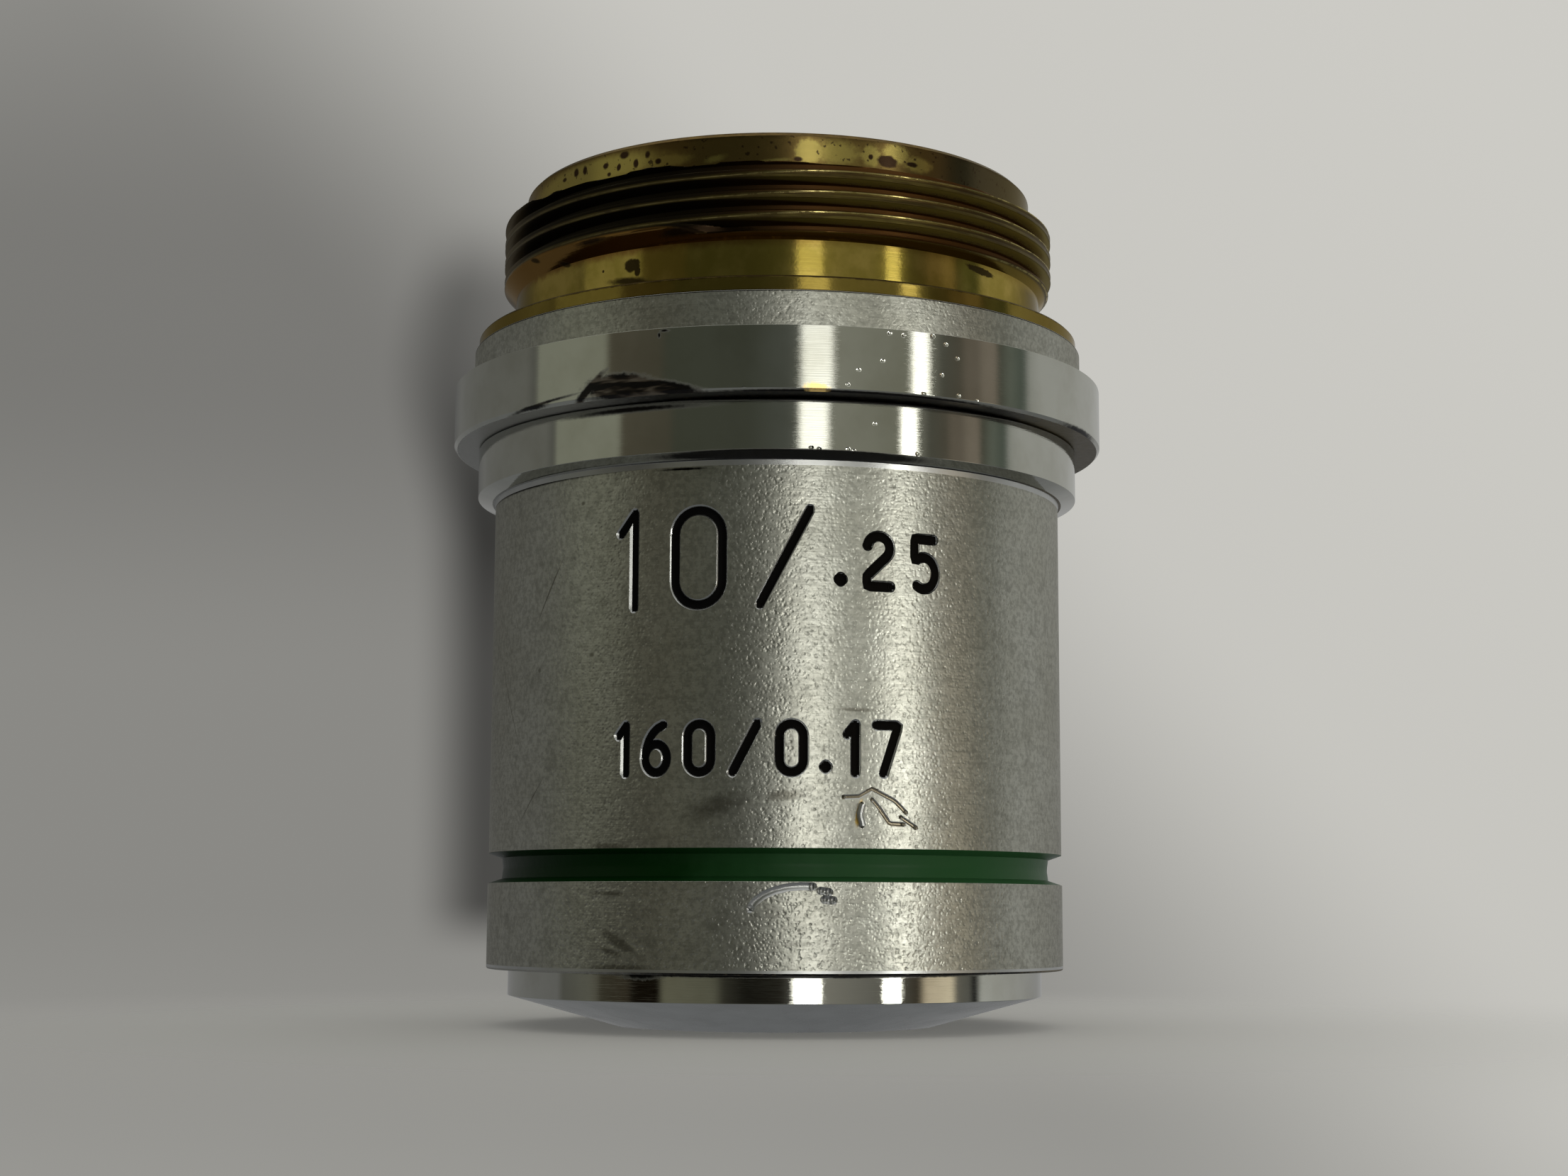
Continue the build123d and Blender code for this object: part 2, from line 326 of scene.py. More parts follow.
def bead_bowls(board):
    """Bowls of three sizes: 0 on the ground between them, and -1 or lower in the deepest."""
    hollows = []
    for size, depth in BEADS:
        cells = board.add("ShaderNodeTexVoronoi", [("Vector", board.solid), ("Scale", 1 / size)])
        kind = board.add("ShaderNodeSeparateColor", [(0, cells["Color"])])[0]
        away = cells["Distance"]
        inside = board.most(board.minus(1.0, board.times(away, away, BOWL_CURVE)), 0.0)
        hollows.append(board.times(inside, inside, board.remap(kind, -SHALLOWEST * depth, -depth)))
    return board.plus(*hollows)


def blasted_plate(name, radius, stains=(), seams=(), fleck=None, roughness=(0.29, 0.36), depth=0.0062):
    """Satin plating; stains are soft grey marks and seams are dark lines, partly dirt and partly painted
    shade.
    """
    board = Finish(name, radius)
    cloudy = board.noise(board.solid, 0.40, 4.0, 0.6)
    spotty = board.noise(board.solid, 1.5, 4.0, 0.62)
    grain = board.noise(board.solid, 5.5, 3.0, 0.7)
    lines = board.tool_lines(11.0)
    base = board.colours(board.ease(cloudy, 0.3, 0.72), NICKEL, NICKEL_WORN)
    for tone, mask, share in [
        ((0.30, 0.30, 0.26), board.ease(spotty, 0.50, 0.76), 0.50),
        ((0.27, 0.27, 0.24), board.ease(lines, 0.45, 0.75), 0.22),
        ((0.22, 0.22, 0.19), board.ease(grain, 0.40, 0.62), 0.42),
        ((0.105, 0.095, 0.070), board.marks(stains), 0.62),
        # Near-black seams: partly dirt and partly painted shade along the edges.
        (GRIME_AND_SHADE, board.marks(seams), None),
    ]:
        base = board.tint(base, tone, mask, share)
    if fleck:
        base = board.tint(base, BRASSY, board.mark(*fleck))
    return board.done(
        Base_Color=base,
        Metallic=1.0,
        Roughness=board.remap(spotty, *roughness),
        Specular_Tint=EDGE_TINT,
        Normal=board.bump(bead_bowls(board), depth, board.bump(lines, 0.0055)),
    )


# %% [markdown]
# The third finish of the plating is smooth, never polished and never blasted: the cone of the
# cap, the insides of the grooves and other plain turned faces. The joints and the undersides
# beside them are near-black: grease and brown crumbs of dirt, with painted shade in the gaps,
# darkest at the front, and a paler grey film on the left that is a painted reflection.

# %% Smooth plating, and the residue and painted shade in the joints
def smooth_plate(name, roughness=(0.22, 0.32), tone=(0.60, 0.61, 0.60), worn_tone=(0.54, 0.55, 0.54)):
    board = Finish(name)
    film = board.noise(board.solid, 0.8, 3.0, 0.55)
    return board.done(
        Base_Color=board.colours(board.ease(film, 0.3, 0.7), tone, worn_tone),
        Metallic=1.0,
        Roughness=board.remap(film, *roughness),
        Normal=board.bump(board.tool_lines(16.0), 0.0015),
    )


def residue(name):
    board = Finish(name)
    crumbs = board.noise(board.solid, 5.0, 4.0, 0.65)
    ragged = board.plus(board.axes(board.solid)[0], board.remap(crumbs, -1.5, 1.5))
    # Painted reflection: a paler grey film on the left.
    thin = board.times(board.ease(ragged, -3.2, -7.4), 0.92)
    # Painted shade in the joints, near-black, mixed with brown crumbs of dirt; the brown on the right is
    # dirt too.
    grease_and_shade = board.colours(board.ease(crumbs, 0.52, 0.74), GRIME_AND_SHADE, (0.075, 0.058, 0.036))
    grease_and_shade = board.tint(grease_and_shade, (0.150, 0.125, 0.080), board.ease(ragged, 7.6, 9.6))
    return board.done(
        Base_Color=board.tint(grease_and_shade, (0.42, 0.42, 0.40), thin),
        Metallic=board.remap(thin, 0.2, 0.45),
        Roughness=board.remap(crumbs, 0.30, 0.50),
        Specular_IOR_Level=0.25,
        Normal=board.bump(crumbs, 0.012),
    )


# %% [markdown]
# The brass has never been plated, and it has had decades to tarnish. It is olive where it is
# thin and clean and red-brown under the last thread. Both its sides, as seen from the front, are
# darkened by painted shade, and so is the left of the thread, nearly black in the roots there.
# The bright lines on the crests are partly where fingers and the nosepiece have rubbed it and
# partly painted highlights. The sizes of the thread come first, because the tarnish follows
# them. Spots are listed as an angle from the front in degrees, a level, half a length and half
# a width, then tilt, raggedness and softness.

# %% Sizes and spots of the brass end
crest_r = 10.12
crest_level = 2.30
pitch = 25.4 / 36
thread_depth = 0.45
neck_r = crest_r - thread_depth
pilot_r = crest_r - 0.80
neck_len = 1.55
pilot_low = neck_len + 2.69

NECK_SPOTS = [
    (-30.5, 1.00, 0.31, 0.23, 0, 0.40, 0.15),
    (-29.2, 0.76, 0.12, 0.16, 0, 0.40, 0.15),
    (46.5, 1.31, 0.76, 0.13, -4, 0.45, 0.15),
    (-37.8, 0.97, 0.05, 0.05, 0, 0.2, 0.3),
    (-31.0, 0.46, 0.80, 0.13, -6, 0.4, 0.5),
    (-44.0, 0.16, 0.16, 0.09, 0, 0.4, 0.4),
    (-57.5, 1.95, 0.22, 0.08, -14, 0.3, 0.4),
    (-49.3, 1.57, 0.30, 0.09, -16, 0.3, 0.4),
    (-39.0, 1.97, 0.60, 0.08, 0, 0.5, 0.6),
    (-20.0, 1.86, 0.55, 0.12, 0, 0.5, 0.6),
    (-14.0, 1.90, 1.40, 0.14, 0, 0.3, 0.3),
]
PILOT_SPOTS = [
    (-49.0, 4.92, 0.14, 0.15, 0, 0.4, 0.3),
    (-46.0, 4.88, 0.11, 0.16, 0, 0.4, 0.3),
    (-39.5, 4.83, 0.13, 0.11, 0, 0.4, 0.3),
    (-35.8, 4.67, 0.09, 0.13, -15, 0.3, 0.25),
    (-31.3, 4.68, 0.11, 0.16, 0, 0.3, 0.25),
    (-34.3, 5.06, 0.20, 0.13, 0, 0.3, 0.3),
    (-28.4, 4.92, 0.10, 0.12, 0, 0.4, 0.4),
    (-25.8, 4.63, 0.12, 0.10, 0, 0.4, 0.3),
    (-38.5, 4.50, 0.09, 0.07, 0, 0.4, 0.4),
    (-53.5, 4.83, 0.13, 0.07, 0, 0.4, 0.4),
    (23.6, 4.60, 0.40, 0.21, 0, 0.35, 0.2),
    (29.4, 4.63, 0.24, 0.08, 0, 0.5, 0.3),
    (19.8, 4.69, 0.09, 0.09, 0, 0.4, 0.3),
    (4.3, 4.44, 0.16, 0.08, 0, 0.4, 0.3),
]
PILOT_CLEAN = [
    (-45.0, 4.72, 3.60, 0.42, 0, 0.18, 0.35),
    (-24.0, 4.60, 0.90, 0.22, 0, 0.35, 0.4),
    (-13.0, 4.50, 0.35, 0.10, 10, 0.7, 0.6),
    (-1.0, 4.36, 0.50, 0.07, 6, 0.7, 0.6),
    (6.6, 4.72, 0.50, 0.42, 0, 0.35, 0.2),
    (12.5, 4.72, 0.75, 0.40, 0, 0.45, 0.5),
    (19.8, 4.72, 0.36, 0.36, 0, 0.45, 0.3),
    (25.6, 4.90, 0.52, 0.34, 0, 0.40, 0.25),
    (31.0, 4.66, 0.55, 0.26, 0, 0.45, 0.35),
]
print(f"thread of {pitch:.3f} mm pitch, {2 * crest_r:.2f} mm over its crests")

# %% [markdown]
# The colour is built up as the tarnish was: clean brass, then olive film, then brown, then the
# dark spots. The thread and the pilot rim have colours of their own. On the thread, offset is
# how far a point lies above or below the nearest crest, in pitches, so that the dark of the
# roots and the bright lines of the crests follow them all the way round. The thread is painted
# darker towards the left as painted shade, black in its roots there, and its crest lines are
# partly wear and partly painted highlights, strongest on the right.

# %% Tarnish, painted shade and painted highlights on the thread, and the pilot rim
BRASS = (0.56, 0.420, 0.110)
OLIVE = (0.41, 0.315, 0.065)
BROWN = (0.24, 0.120, 0.034)
UMBER = (0.080, 0.052, 0.020)
# Painted shade: near-black for the left side of the thread.
SHADE_BLACK = (0.016, 0.012, 0.006)
CREST = (0.130, 0.100, 0.024)
FLANK = (0.38, 0.30, 0.062)
# Bright lines on the crests: partly wear, partly painted highlight.
CREST_WEAR_AND_HIGHLIGHT = (0.48, 0.40, 0.16)


def thread_colours(board, x, y, z, to_right, cloudy, spotty):
    """Colour of the thread, and a mask of the bright lines on its crests, partly wear and partly painted
    highlight.
    """
    turns = board.over(board.around(x, y), 2 * math.pi)
    turns_up = board.minus(board.over(board.minus(z, crest_level), pitch), turns)
    offset = board.minus(board.calc("FRACT", board.plus(turns_up, 0.5)), 0.5)
    # Painted shade: the dark band of the roots is wider on the left.
    above = board.plus(offset, board.remap(to_right, 0.20, 0.37))
    below = board.minus(board.remap(to_right, 0.04, 0.22), offset)
    deep = board.minus(1.0, board.times(board.ease(above, 0.0, 0.05), board.ease(below, 0.0, 0.04)))
    # Painted shade: the roots are black on the left and dark brown on the right; at the far left edge they
    # are paler, a painted reflection.
    roots = board.colours(to_right, SHADE_BLACK, (0.090, 0.038, 0.008))
    roots = board.tint(roots, (0.125, 0.094, 0.052), board.ease(x, -8.7, -9.7))

    # Painted highlights, partly wear: two bright lines along the crests, stronger towards the right, with a
    # darker painted line between them.
    upper_line = board.near(offset, board.remap(to_right, -0.10, 0.150), 0.045, 0.020)
    lower_line = board.times(board.near(offset, -0.33, 0.045, 0.020), to_right, 0.40)
    patchy = board.remap(board.ease(spotty, 0.38, 0.56), 0.15, 1.0)
    worn = board.times(board.most(upper_line, lower_line), patchy, board.remap(to_right, 0.12, 1.0))
    mid_line = board.near(offset, 0.02, 0.055, 0.025)
    crests = board.colours(board.ease(cloudy, 0.35, 0.65), CREST, (0.085, 0.060, 0.015))
    for tone, mask, share in [
        ((0.040, 0.025, 0.008), board.ease(board.tool_lines(7.0), 0.46, 0.62), 0.75),
        # Painted light and shade: the flanks show olive brass towards the right, and the crests go
        # near-black on the left.
        (FLANK, board.ease(offset, -0.16, -0.22), to_right),
        ((0.045, 0.024, 0.007), mid_line, board.remap(to_right, 0.0, 0.75)),
        (SHADE_BLACK, board.remap(to_right, 0.55, 0.0), None),
        # Painted highlights, partly wear: the bright crest lines.
        (CREST_WEAR_AND_HIGHLIGHT, worn, None),
    ]:
        crests = board.tint(crests, tone, mask, share)
    return board.colours(deep, crests, roots), worn


def pilot_colours(board, x, ragged_z, spotty):
    """Colour of the pilot rim: old brass with clean patches, spots and dirt on its upper edge."""
    old = board.colours(board.ease(x, 4.5, 6.5), (0.230, 0.155, 0.050), (0.100, 0.078, 0.042))
    pilot = board.tint(old, (0.50, 0.40, 0.115), board.marks(PILOT_CLEAN))
    patchy = board.remap(board.ease(spotty, 0.35, 0.65), 1.0, 0.45)
    rim_dirt = board.times(board.ease(ragged_z, 5.12, 5.34), patchy)
    speckle = board.times(board.ease(board.noise(board.solid, 5.5, 2.0, 0.5), 0.64, 0.70), 0.8)
    return board.tint(pilot, (0.055, 0.032, 0.018), board.most(board.marks(PILOT_SPOTS), rim_dirt, speckle))


# %% [markdown]
# The whole finish puts these together by level: the neck at the bottom, the thread, and the
# pilot rim above it. Umber darkens both sides as seen from the front, as painted shade. The
# flange below the neck is a darker shelf: its top edge is painted near-black as painted shade
# where it would catch a highlight, and its lower edge by the joint is dark with dirt and
# painted shade.

# %% Tarnished brass, with painted shade and painted highlights
def tarnished_brass(name):
    board = Finish(name, neck_r)
    x, y, z = board.axes(board.solid)
    radius = board.off_axis(x, y)
    to_right = board.ease(x, -3.5, 3.0)
    cloudy = board.noise(board.solid, 0.7, 4.0, 0.6)
    spotty = board.noise(board.solid, 2.6, 5.0, 0.65)
    ragged_z = board.plus(z, board.remap(spotty, -0.22, 0.22))

    foot = board.plus(z, board.times(board.ease(x, -4.2, -1.8), 0.30))
    in_thread = board.times(board.ease(foot, 2.02, 2.12), board.ease(z, pilot_low + 0.05, pilot_low))
    beside_wall = board.ease(radius, pilot_r + 0.12, pilot_r + 0.04)
    on_pilot = board.times(board.ease(z, pilot_low - 0.10, pilot_low), beside_wall)
    shelf = board.times(board.ease(z, 0.10, 0.02), board.ease(radius, neck_r + 0.05, neck_r + 0.3))
    # Painted shade: the flange's top edge is painted dark where it would catch a highlight.
    rim = board.ease(board.plus(z, board.remap(spotty, -0.05, 0.05)), -0.10, -0.05)
    # Dirt and painted shade: a dark line along the flange's lower edge by the joint.
    seam = board.ease(z, flange_low + 0.09, flange_low + 0.03)
    spots = board.most(board.times(shelf, rim), board.times(shelf, seam), board.marks(NECK_SPOTS))
    thread, worn = thread_colours(board, x, y, z, to_right, cloudy, spotty)

    base = board.colours(board.ease(cloudy, 0.34, 0.62), BRASS, OLIVE)
    for tone, mask, share in [
        # Painted shade: both sides of the brass, as seen from the front, are darkened with umber.
        (UMBER, board.ease(x, 7.9, 9.3), 0.85),
        (UMBER, board.ease(x, -8.2, -9.3), 0.75),
        (board.colours(to_right, BROWN, (0.33, 0.230, 0.048)), board.ease(ragged_z, 1.22, 1.60), 0.92),
        (thread, in_thread, None),
        (pilot_colours(board, x, ragged_z, spotty), on_pilot, None),
        ((0.27, 0.195, 0.045), shelf, board.remap(spotty, 0.45, 1.0)),
        ((0.030, 0.018, 0.010), spots, 0.92),
    ]:
        base = board.tint(base, tone, mask, share)
    filmed = board.times(in_thread, board.minus(1.0, board.most(worn, spots)))
    dull = board.most(spots, board.times(filmed, 1.3), board.times(on_pilot, 0.5))
    return board.done(
        Base_Color=base,
        Metallic=board.remap(filmed, 1.0, 0.65),
        Roughness=board.plus(board.remap(spotty, 0.07, 0.14), board.times(dull, 0.20)),
        Specular_IOR_Level=0.30,
        Specular_Tint=(0.80, 0.74, 0.60, 1.0),
        Normal=board.bump(spotty, 0.0022, board.bump(board.tool_lines(13.0), 0.0012)),
    )


# %% [markdown]
# The remaining finishes are simpler. The green ring is enamel run into the groove: not metal, a
# little orange-peel and softly glossy, its colour painted lighter towards the right and darker
# on the left, as painted light and shade. The black in the engraving is the same enamel with
# dust in it, with the same slight painted gradient. Everything inside is brass that was
# chemically blackened so that it throws no stray light, and the lenses carry a little dust,
# which scatters the light that a clean face would pass.

# %% Enamel, black filling, blackened brass and glass
def enamel(name, tone, painted_lit_tone, gloss, shine):
    board = Finish(name)
    cloudy = board.noise(board.solid, 0.9, 4.0, 0.6)
    # Painted light and shade: the colour is lighter towards the right and darker on the left.
    ragged = board.plus(board.axes(board.solid)[0], board.remap(cloudy, -1.5, 1.5))
    return board.done(
        Base_Color=board.colours(board.ease(ragged, -5.0, 3.5), tone, painted_lit_tone),
        Roughness=board.remap(cloudy, gloss, gloss + 0.12),
        Specular_IOR_Level=shine,
        Normal=board.bump(board.noise(board.solid, 3.5, 2.0, 0.5), 0.006),
    )


def blackened_brass(name):
    board = Finish(name)
    worn = board.ease(board.noise(board.solid, 2.2, 5.0, 0.65), 0.60, 0.74)
    return board.done(
        Base_Color=board.colours(worn, (0.020, 0.018, 0.016), (0.12, 0.085, 0.040)),
        Metallic=0.75,
        Roughness=board.remap(board.noise(board.solid, 1.2, 3.0, 0.5), 0.38, 0.55),
        Normal=board.bump(board.tool_lines(10.0), 0.004),
    )


def lens_glass(name):
    board = Finish(name)
    dust = board.noise(board.solid, 3.0, 4.0, 0.6)
    return board.done(
        Base_Color=(0.93, 0.96, 0.97, 1.0),
        Roughness=board.remap(board.ease(dust, 0.55, 0.85), 0.0, 0.15),
        Transmission_Weight=1.0,
        IOR=1.52,
        Coat_Weight=0.35,
        Coat_Tint=(0.75, 0.80, 1.0, 1.0),
    )


# %% [markdown]
# The marks of the plated pieces are listed once, in the same order as the spots of the brass:
# angle, level, half length, half width, tilt, raggedness and softness. Dents are only an angle
# and a level.

# %% Marks on the plating
GREASE = [
    (-25.6, -3.70, 1.35, 0.46, -3, 0.28, 0.22),
    (-19.0, -3.82, 1.55, 0.27, -9, 0.25, 0.25),
    (-31.4, -3.66, 0.80, 0.16, 40, 0.35, 0.35),
    (-22.0, -3.98, 1.90, 0.12, 0, 0.30, 0.40),
    (-42.0, -3.90, 1.60, 0.05, 5, 0.40, 0.60),
]
# Seams of the collar: the first, across the front of the lower bevel, is a painted dark reflection; the rest
# are dirt.
COLLAR_SEAMS = [
    (14.0, -4.04, 5.60, 0.06, 0, 0.25, 0.35),
    (-17.9, -1.96, 0.15, 0.05, 0, 0.45, 0.60),
    (-18.8, -2.10, 0.05, 0.09, 0, 0.45, 0.60),
    (64.0, -4.05, 1.60, 0.12, 0, 0.60, 0.50),
    (-43.5, -3.96, 0.60, 0.07, 0, 0.50, 0.50),
]
COLLAR_DENTS = [
    (13.0, -3.30), (27.2, -3.24), (18.2, -2.02), (20.6, -2.05), (28.0, -2.20), (30.2, -2.62), (17.0, -2.95),
    (30.4, -3.86), (11.2, -3.80), (24.0, -3.92), (-5.0, -3.98), (34.0, -3.95), (25.6, -1.97),
]
COLLAR_FLECK = (6.4, -3.95, 0.36, 0.17, -8, 0.8, 0.4)
SATIN_STAINS = [(-44, -1.7, 0.12, 0.08, 0, 0.3, 0.4)]
SATIN_SEAMS = [(0, -0.55, 40.0, 0.03, 0, 0, 0.4), (0, -1.86, 40.0, 0.02, 0, 0, 0.6)]
# Seams of the sleeve: the first, across the front of the ring's lower chamfer, is a painted dark reflection;
# the second, along the ring's top edge, is painted shade in the gap under the collar; the third is a dark
# line on the left.
SLEEVE_SEAMS = [
    (3.0, -5.90, 5.30, 0.13, 0, 0.10, 0.20),
    (16.0, -4.10, 7.20, 0.09, 0, 0.10, 0.20),
    (-26.0, -4.28, 2.60, 0.10, 0, 0.30, 0.60),
]
SLEEVE_DENTS = [(6.0, -5.72), (7.4, -5.76), (12.4, -5.74), (13.4, -5.79), (25.2, -5.74), (17.2, -4.85)]
BARREL_STAINS = [
    (-38.9, -7.11, 0.09, 0.06, 20, 0.2, 0.5),
    (-36.3, -12.24, 0.10, 0.07, 0, 0.2, 0.5),
    (-50.9, -12.59, 0.08, 0.08, 0, 0.2, 0.5),
    (1.6, -16.95, 0.52, 0.17, 4, 0.4, 0.5),
    (15.0, -14.16, 0.55, 0.06, 0, 0.4, 0.6),
    (-10.5, -17.30, 0.90, 0.30, 20, 0.6, 0.8),
    (-31.5, -18.55, 0.65, 0.10, 0, 0.5, 0.4),
    (-47.9, -9.91, 1.13, 0.035, 56, 0.3, 0.4),
    (-63.0, -13.60, 1.80, 0.020, -60, 0.1, 0.5),
    (-53.0, -16.93, 0.88, 0.022, 45, 0.1, 0.5),
]
# Seams of the barrel: the line at the top on the left is partly dirt and partly painted shade under the
# ring.
BARREL_SEAMS = [
    (0, -18.66, 40.0, 0.04, 0, 0, 0.4),
    (-58.0, -6.16, 4.40, 0.08, 0, 0.3, 0.5),
    (-17.0, -6.26, 0.75, 0.04, 0, 0.5, 0.6),
]
BARREL_FLECK = (15.4, -17.50, 0.42, 0.10, 78, 0.30, 0.30)
BAND_STAINS = [
    (-29.5, -21.62, 0.62, 0.17, -28, 0.5, 0.5),
    (-31.0, -21.95, 0.40, 0.10, -15, 0.5, 0.6),
    (-31.5, -20.08, 0.55, 0.07, -2, 0.5, 0.5),
    (-29.0, -22.46, 0.95, 0.10, 0, 0.5, 0.5),
]
BAND_SEAMS = [(6.0, -22.66, 7.50, 0.05, 0, 0.3, 0.4)]
STEP_SEAMS = [(5.0, -22.69, 8.20, 0.07, 0, 0.35, 0.35), (-27.0, -22.70, 0.9, 0.14, 0, 0.6, 0.5)]

barrel_r = 10.28
band_r = 10.30
collar_satin_r = 11.13

# %% The finishes of this objective
finishes = {
    "polished": polished_plate("polished_collar", COLLAR_SEAMS, GREASE, COLLAR_DENTS, COLLAR_FLECK),
    "polished_sleeve": polished_plate("polished_sleeve", SLEEVE_SEAMS, (), SLEEVE_DENTS),
    "step": polished_plate("polished_step", STEP_SEAMS),
    "blasted": blasted_plate("blasted_barrel", barrel_r, BARREL_STAINS, BARREL_SEAMS, BARREL_FLECK),
    "blasted_band": blasted_plate(
        "blasted_band", band_r, BAND_STAINS, BAND_SEAMS, None, (0.30, 0.37), 0.0084),
    "blasted_collar": blasted_plate(
        "blasted_collar", collar_satin_r, SATIN_STAINS, SATIN_SEAMS, None, (0.32, 0.39), 0.0052),
    "smooth": smooth_plate("smooth_plating"),
    "fillet": smooth_plate("smooth_fillet", (0.28, 0.38)),
    "residue": residue("residue_in_joints"),
    "scuffed": smooth_plate("scuffed_plating", (0.20, 0.35), (0.40, 0.35, 0.26), (0.22, 0.19, 0.13)),
    "brass": tarnished_brass("tarnished_brass"),
    "green": enamel("green_enamel", (0.0008, 0.026, 0.0015), (0.030, 0.112, 0.036), 0.30, 0.12),
    "filling": enamel("black_filling", (0.003, 0.003, 0.003), (0.006, 0.005, 0.004), 0.70, 0.06),
    "black": blackened_brass("blackened_brass"),
    "glass": lens_glass("lens_glass"),
}
print("finishes:", ", ".join(finishes))

# %% [markdown]
# A lathe makes a surface of revolution from a half section. Blender's own Screw modifier would
# do it too, but a polished ring shows every error of the shading: a smoothed edge bends the
# mirrored stripes. So this lathe keeps the exact normal of each face as it turns it, rounds
# each corner with a small arc of its own radius, and gives each face its own finish.

# %% The lathe
COLUMNS = 288
EDGE_STEPS = 5
MOST_OF_A_SIDE = 0.45


def unit(vector):
    return vector / np.linalg.norm(vector)


def section_segments(section, closed):
    """Straight and rounded pieces of a section: (start, end, normal at start, at end, finish)."""
    corners = [np.array(row[:2], float) for row in section]
    count = len(corners)
    area = sum(a[0] * b[1] - b[0] * a[1] for a, b in zip(corners, corners[1:] + corners[:1]))
    side = math.copysign(1.0, area)
    entry, leave, arcs = list(corners), list(corners), {}
    for k in range(count if closed else count - 1):
        edge = section[k][2]
        if edge <= 0 or (not closed and k == 0):
            continue
        back = corners[k - 1] - corners[k]
        ahead = corners[(k + 1) % count] - corners[k]
        half = math.acos(float(np.clip(unit(back) @ unit(ahead), -1, 1))) / 2
        room = MOST_OF_A_SIDE * min(np.linalg.norm(back), np.linalg.norm(ahead))
        reach = min(edge / math.tan(half), room)
        entry[k] = corners[k] + unit(back) * reach
        leave[k] = corners[k] + unit(ahead) * reach
        centre = corners[k] + unit(unit(back) + unit(ahead)) * reach / math.cos(half)
        rim = reach * math.tan(half)
        first, last = unit(entry[k] - centre), unit(leave[k] - centre)
        outward = 1.0 if first @ (side * np.array([-back[1], back[0]])) > 0 else -1.0
        sweep = math.acos(float(np.clip(first @ last, -1, 1)))
        arcs[k] = []
        for share in np.arange(EDGE_STEPS + 1) / EDGE_STEPS:
            ray = (math.sin((1 - share) * sweep) * first + math.sin(share * sweep) * last) / math.sin(sweep)
            arcs[k].append((centre + ray * rim, ray * outward))
    made = []
    for k in range(count if closed else count - 1):
        for (a, normal_a), (b, normal_b) in zip(arcs.get(k, []), arcs.get(k, [])[1:]):
            made.append((a, b, normal_a, normal_b, section[k][3]))
        start, end = leave[k], entry[(k + 1) % count]
        along = unit(end - start)
        normal = side * np.array([along[1], -along[0]])
        made.append((start, end, normal, normal, section[k][3]))
    return made, side


def turned_parts(section, closed=True):
    """Vertices, faces, finish of each face and normal of each face corner, in millimetres."""
    segments, side = section_segments(section, closed)
    angles = math.pi / 2 + np.arange(COLUMNS) * 2 * math.pi / COLUMNS
    cosine, sine = np.cos(angles), np.sin(angles)
    starts = [segment[0] for segment in segments]
    rings = starts if closed else starts + [segments[-1][1]]
    vertices = np.concatenate([np.stack([r * cosine, r * sine, np.full(COLUMNS, z)], 1) for r, z in rings])
    faces, names, normals = [], [], []
    for k, (_, _, normal_a, normal_b, finish) in enumerate(segments):
        low, high = k * COLUMNS, (k + 1) % len(rings) * COLUMNS
        for c in range(COLUMNS):
            d = (c + 1) % COLUMNS
            lower = [(low + c, c, normal_a), (low + d, d, normal_a)]
            corner = lower + [(high + d, d, normal_b), (high + c, c, normal_b)]
            corner = corner if side > 0 else corner[::-1]
            faces.append([index for index, _, _ in corner])
            normals += [(n[0] * cosine[i], n[0] * sine[i], n[1]) for _, i, n in corner]
            names.append(finish)
    return vertices, faces, names, np.array(normals)


# %% [markdown]
# After a mesh is made, and after anything is cut out of it, its shading is settled once. Corners
# that came off the lathe keep their exact normals, which travel with the mesh in an attribute,
# and all others are smoothed up to an angle.

# %% Making and shading a mesh
SHARP_ANGLE = 32
EXACT = "turned_normal"
DOUBLES = 2e-7


def build(name, vertices, faces, names, normals):
    """A mesh object in metres with one slot for each finish and the exact normals kept aside."""
    mesh = bpy.data.meshes.new(name)
    mesh.from_pydata((vertices * MM).tolist(), [], faces)
    used = list(dict.fromkeys(names))
    for finish in used:
        mesh.materials.append(finishes[finish])
    mesh.polygons.foreach_set("material_index", [used.index(finish) for finish in names])
    kept = mesh.attributes.new(EXACT, "FLOAT_VECTOR", "CORNER")
    kept.data.foreach_set("vector", normals.astype(np.float32).ravel())
    return new_object(name, mesh)


def settle(piece):
    """Merges doubles, smooths the shading and gives turned faces their own normals back."""
    mesh = piece.data
    edit = bmesh.new()
    edit.from_mesh(mesh)
    bmesh.ops.remove_doubles(edit, verts=edit.verts, dist=DOUBLES)
    bmesh.ops.dissolve_degenerate(edit, edges=edit.edges, dist=DOUBLES / 2)
    edit.to_mesh(mesh)
    open_edges = sum(1 for edge in edit.edges if len(edge.link_faces) != 2)
    edit.free()
    mesh.polygons.foreach_set("use_smooth", [True] * len(mesh.polygons))
    mesh.set_sharp_from_angle(angle=math.radians(SHARP_ANGLE))
    exact = np.zeros(len(mesh.loops) * 3, np.float32)
    mesh.attributes[EXACT].data.foreach_get("vector", exact)
    exact = exact.reshape(-1, 3)
    size = np.linalg.norm(exact, axis=1, keepdims=True)
    exact = np.where(size > 0.5, exact / np.maximum(size, 1e-6), 0.0)
    mesh.attributes.remove(mesh.attributes[EXACT])
    mesh.normals_split_custom_set(exact.tolist())
    triangles = sum(len(face.vertices) - 2 for face in mesh.polygons)
    print(f"{piece.name}: {triangles} triangles, {open_edges} open edges")


def stand_for(piece, node):
    """Settles the piece; it rides on the one body and takes the node's place."""
    settle(piece)
    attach(piece, "root")
    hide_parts(node)


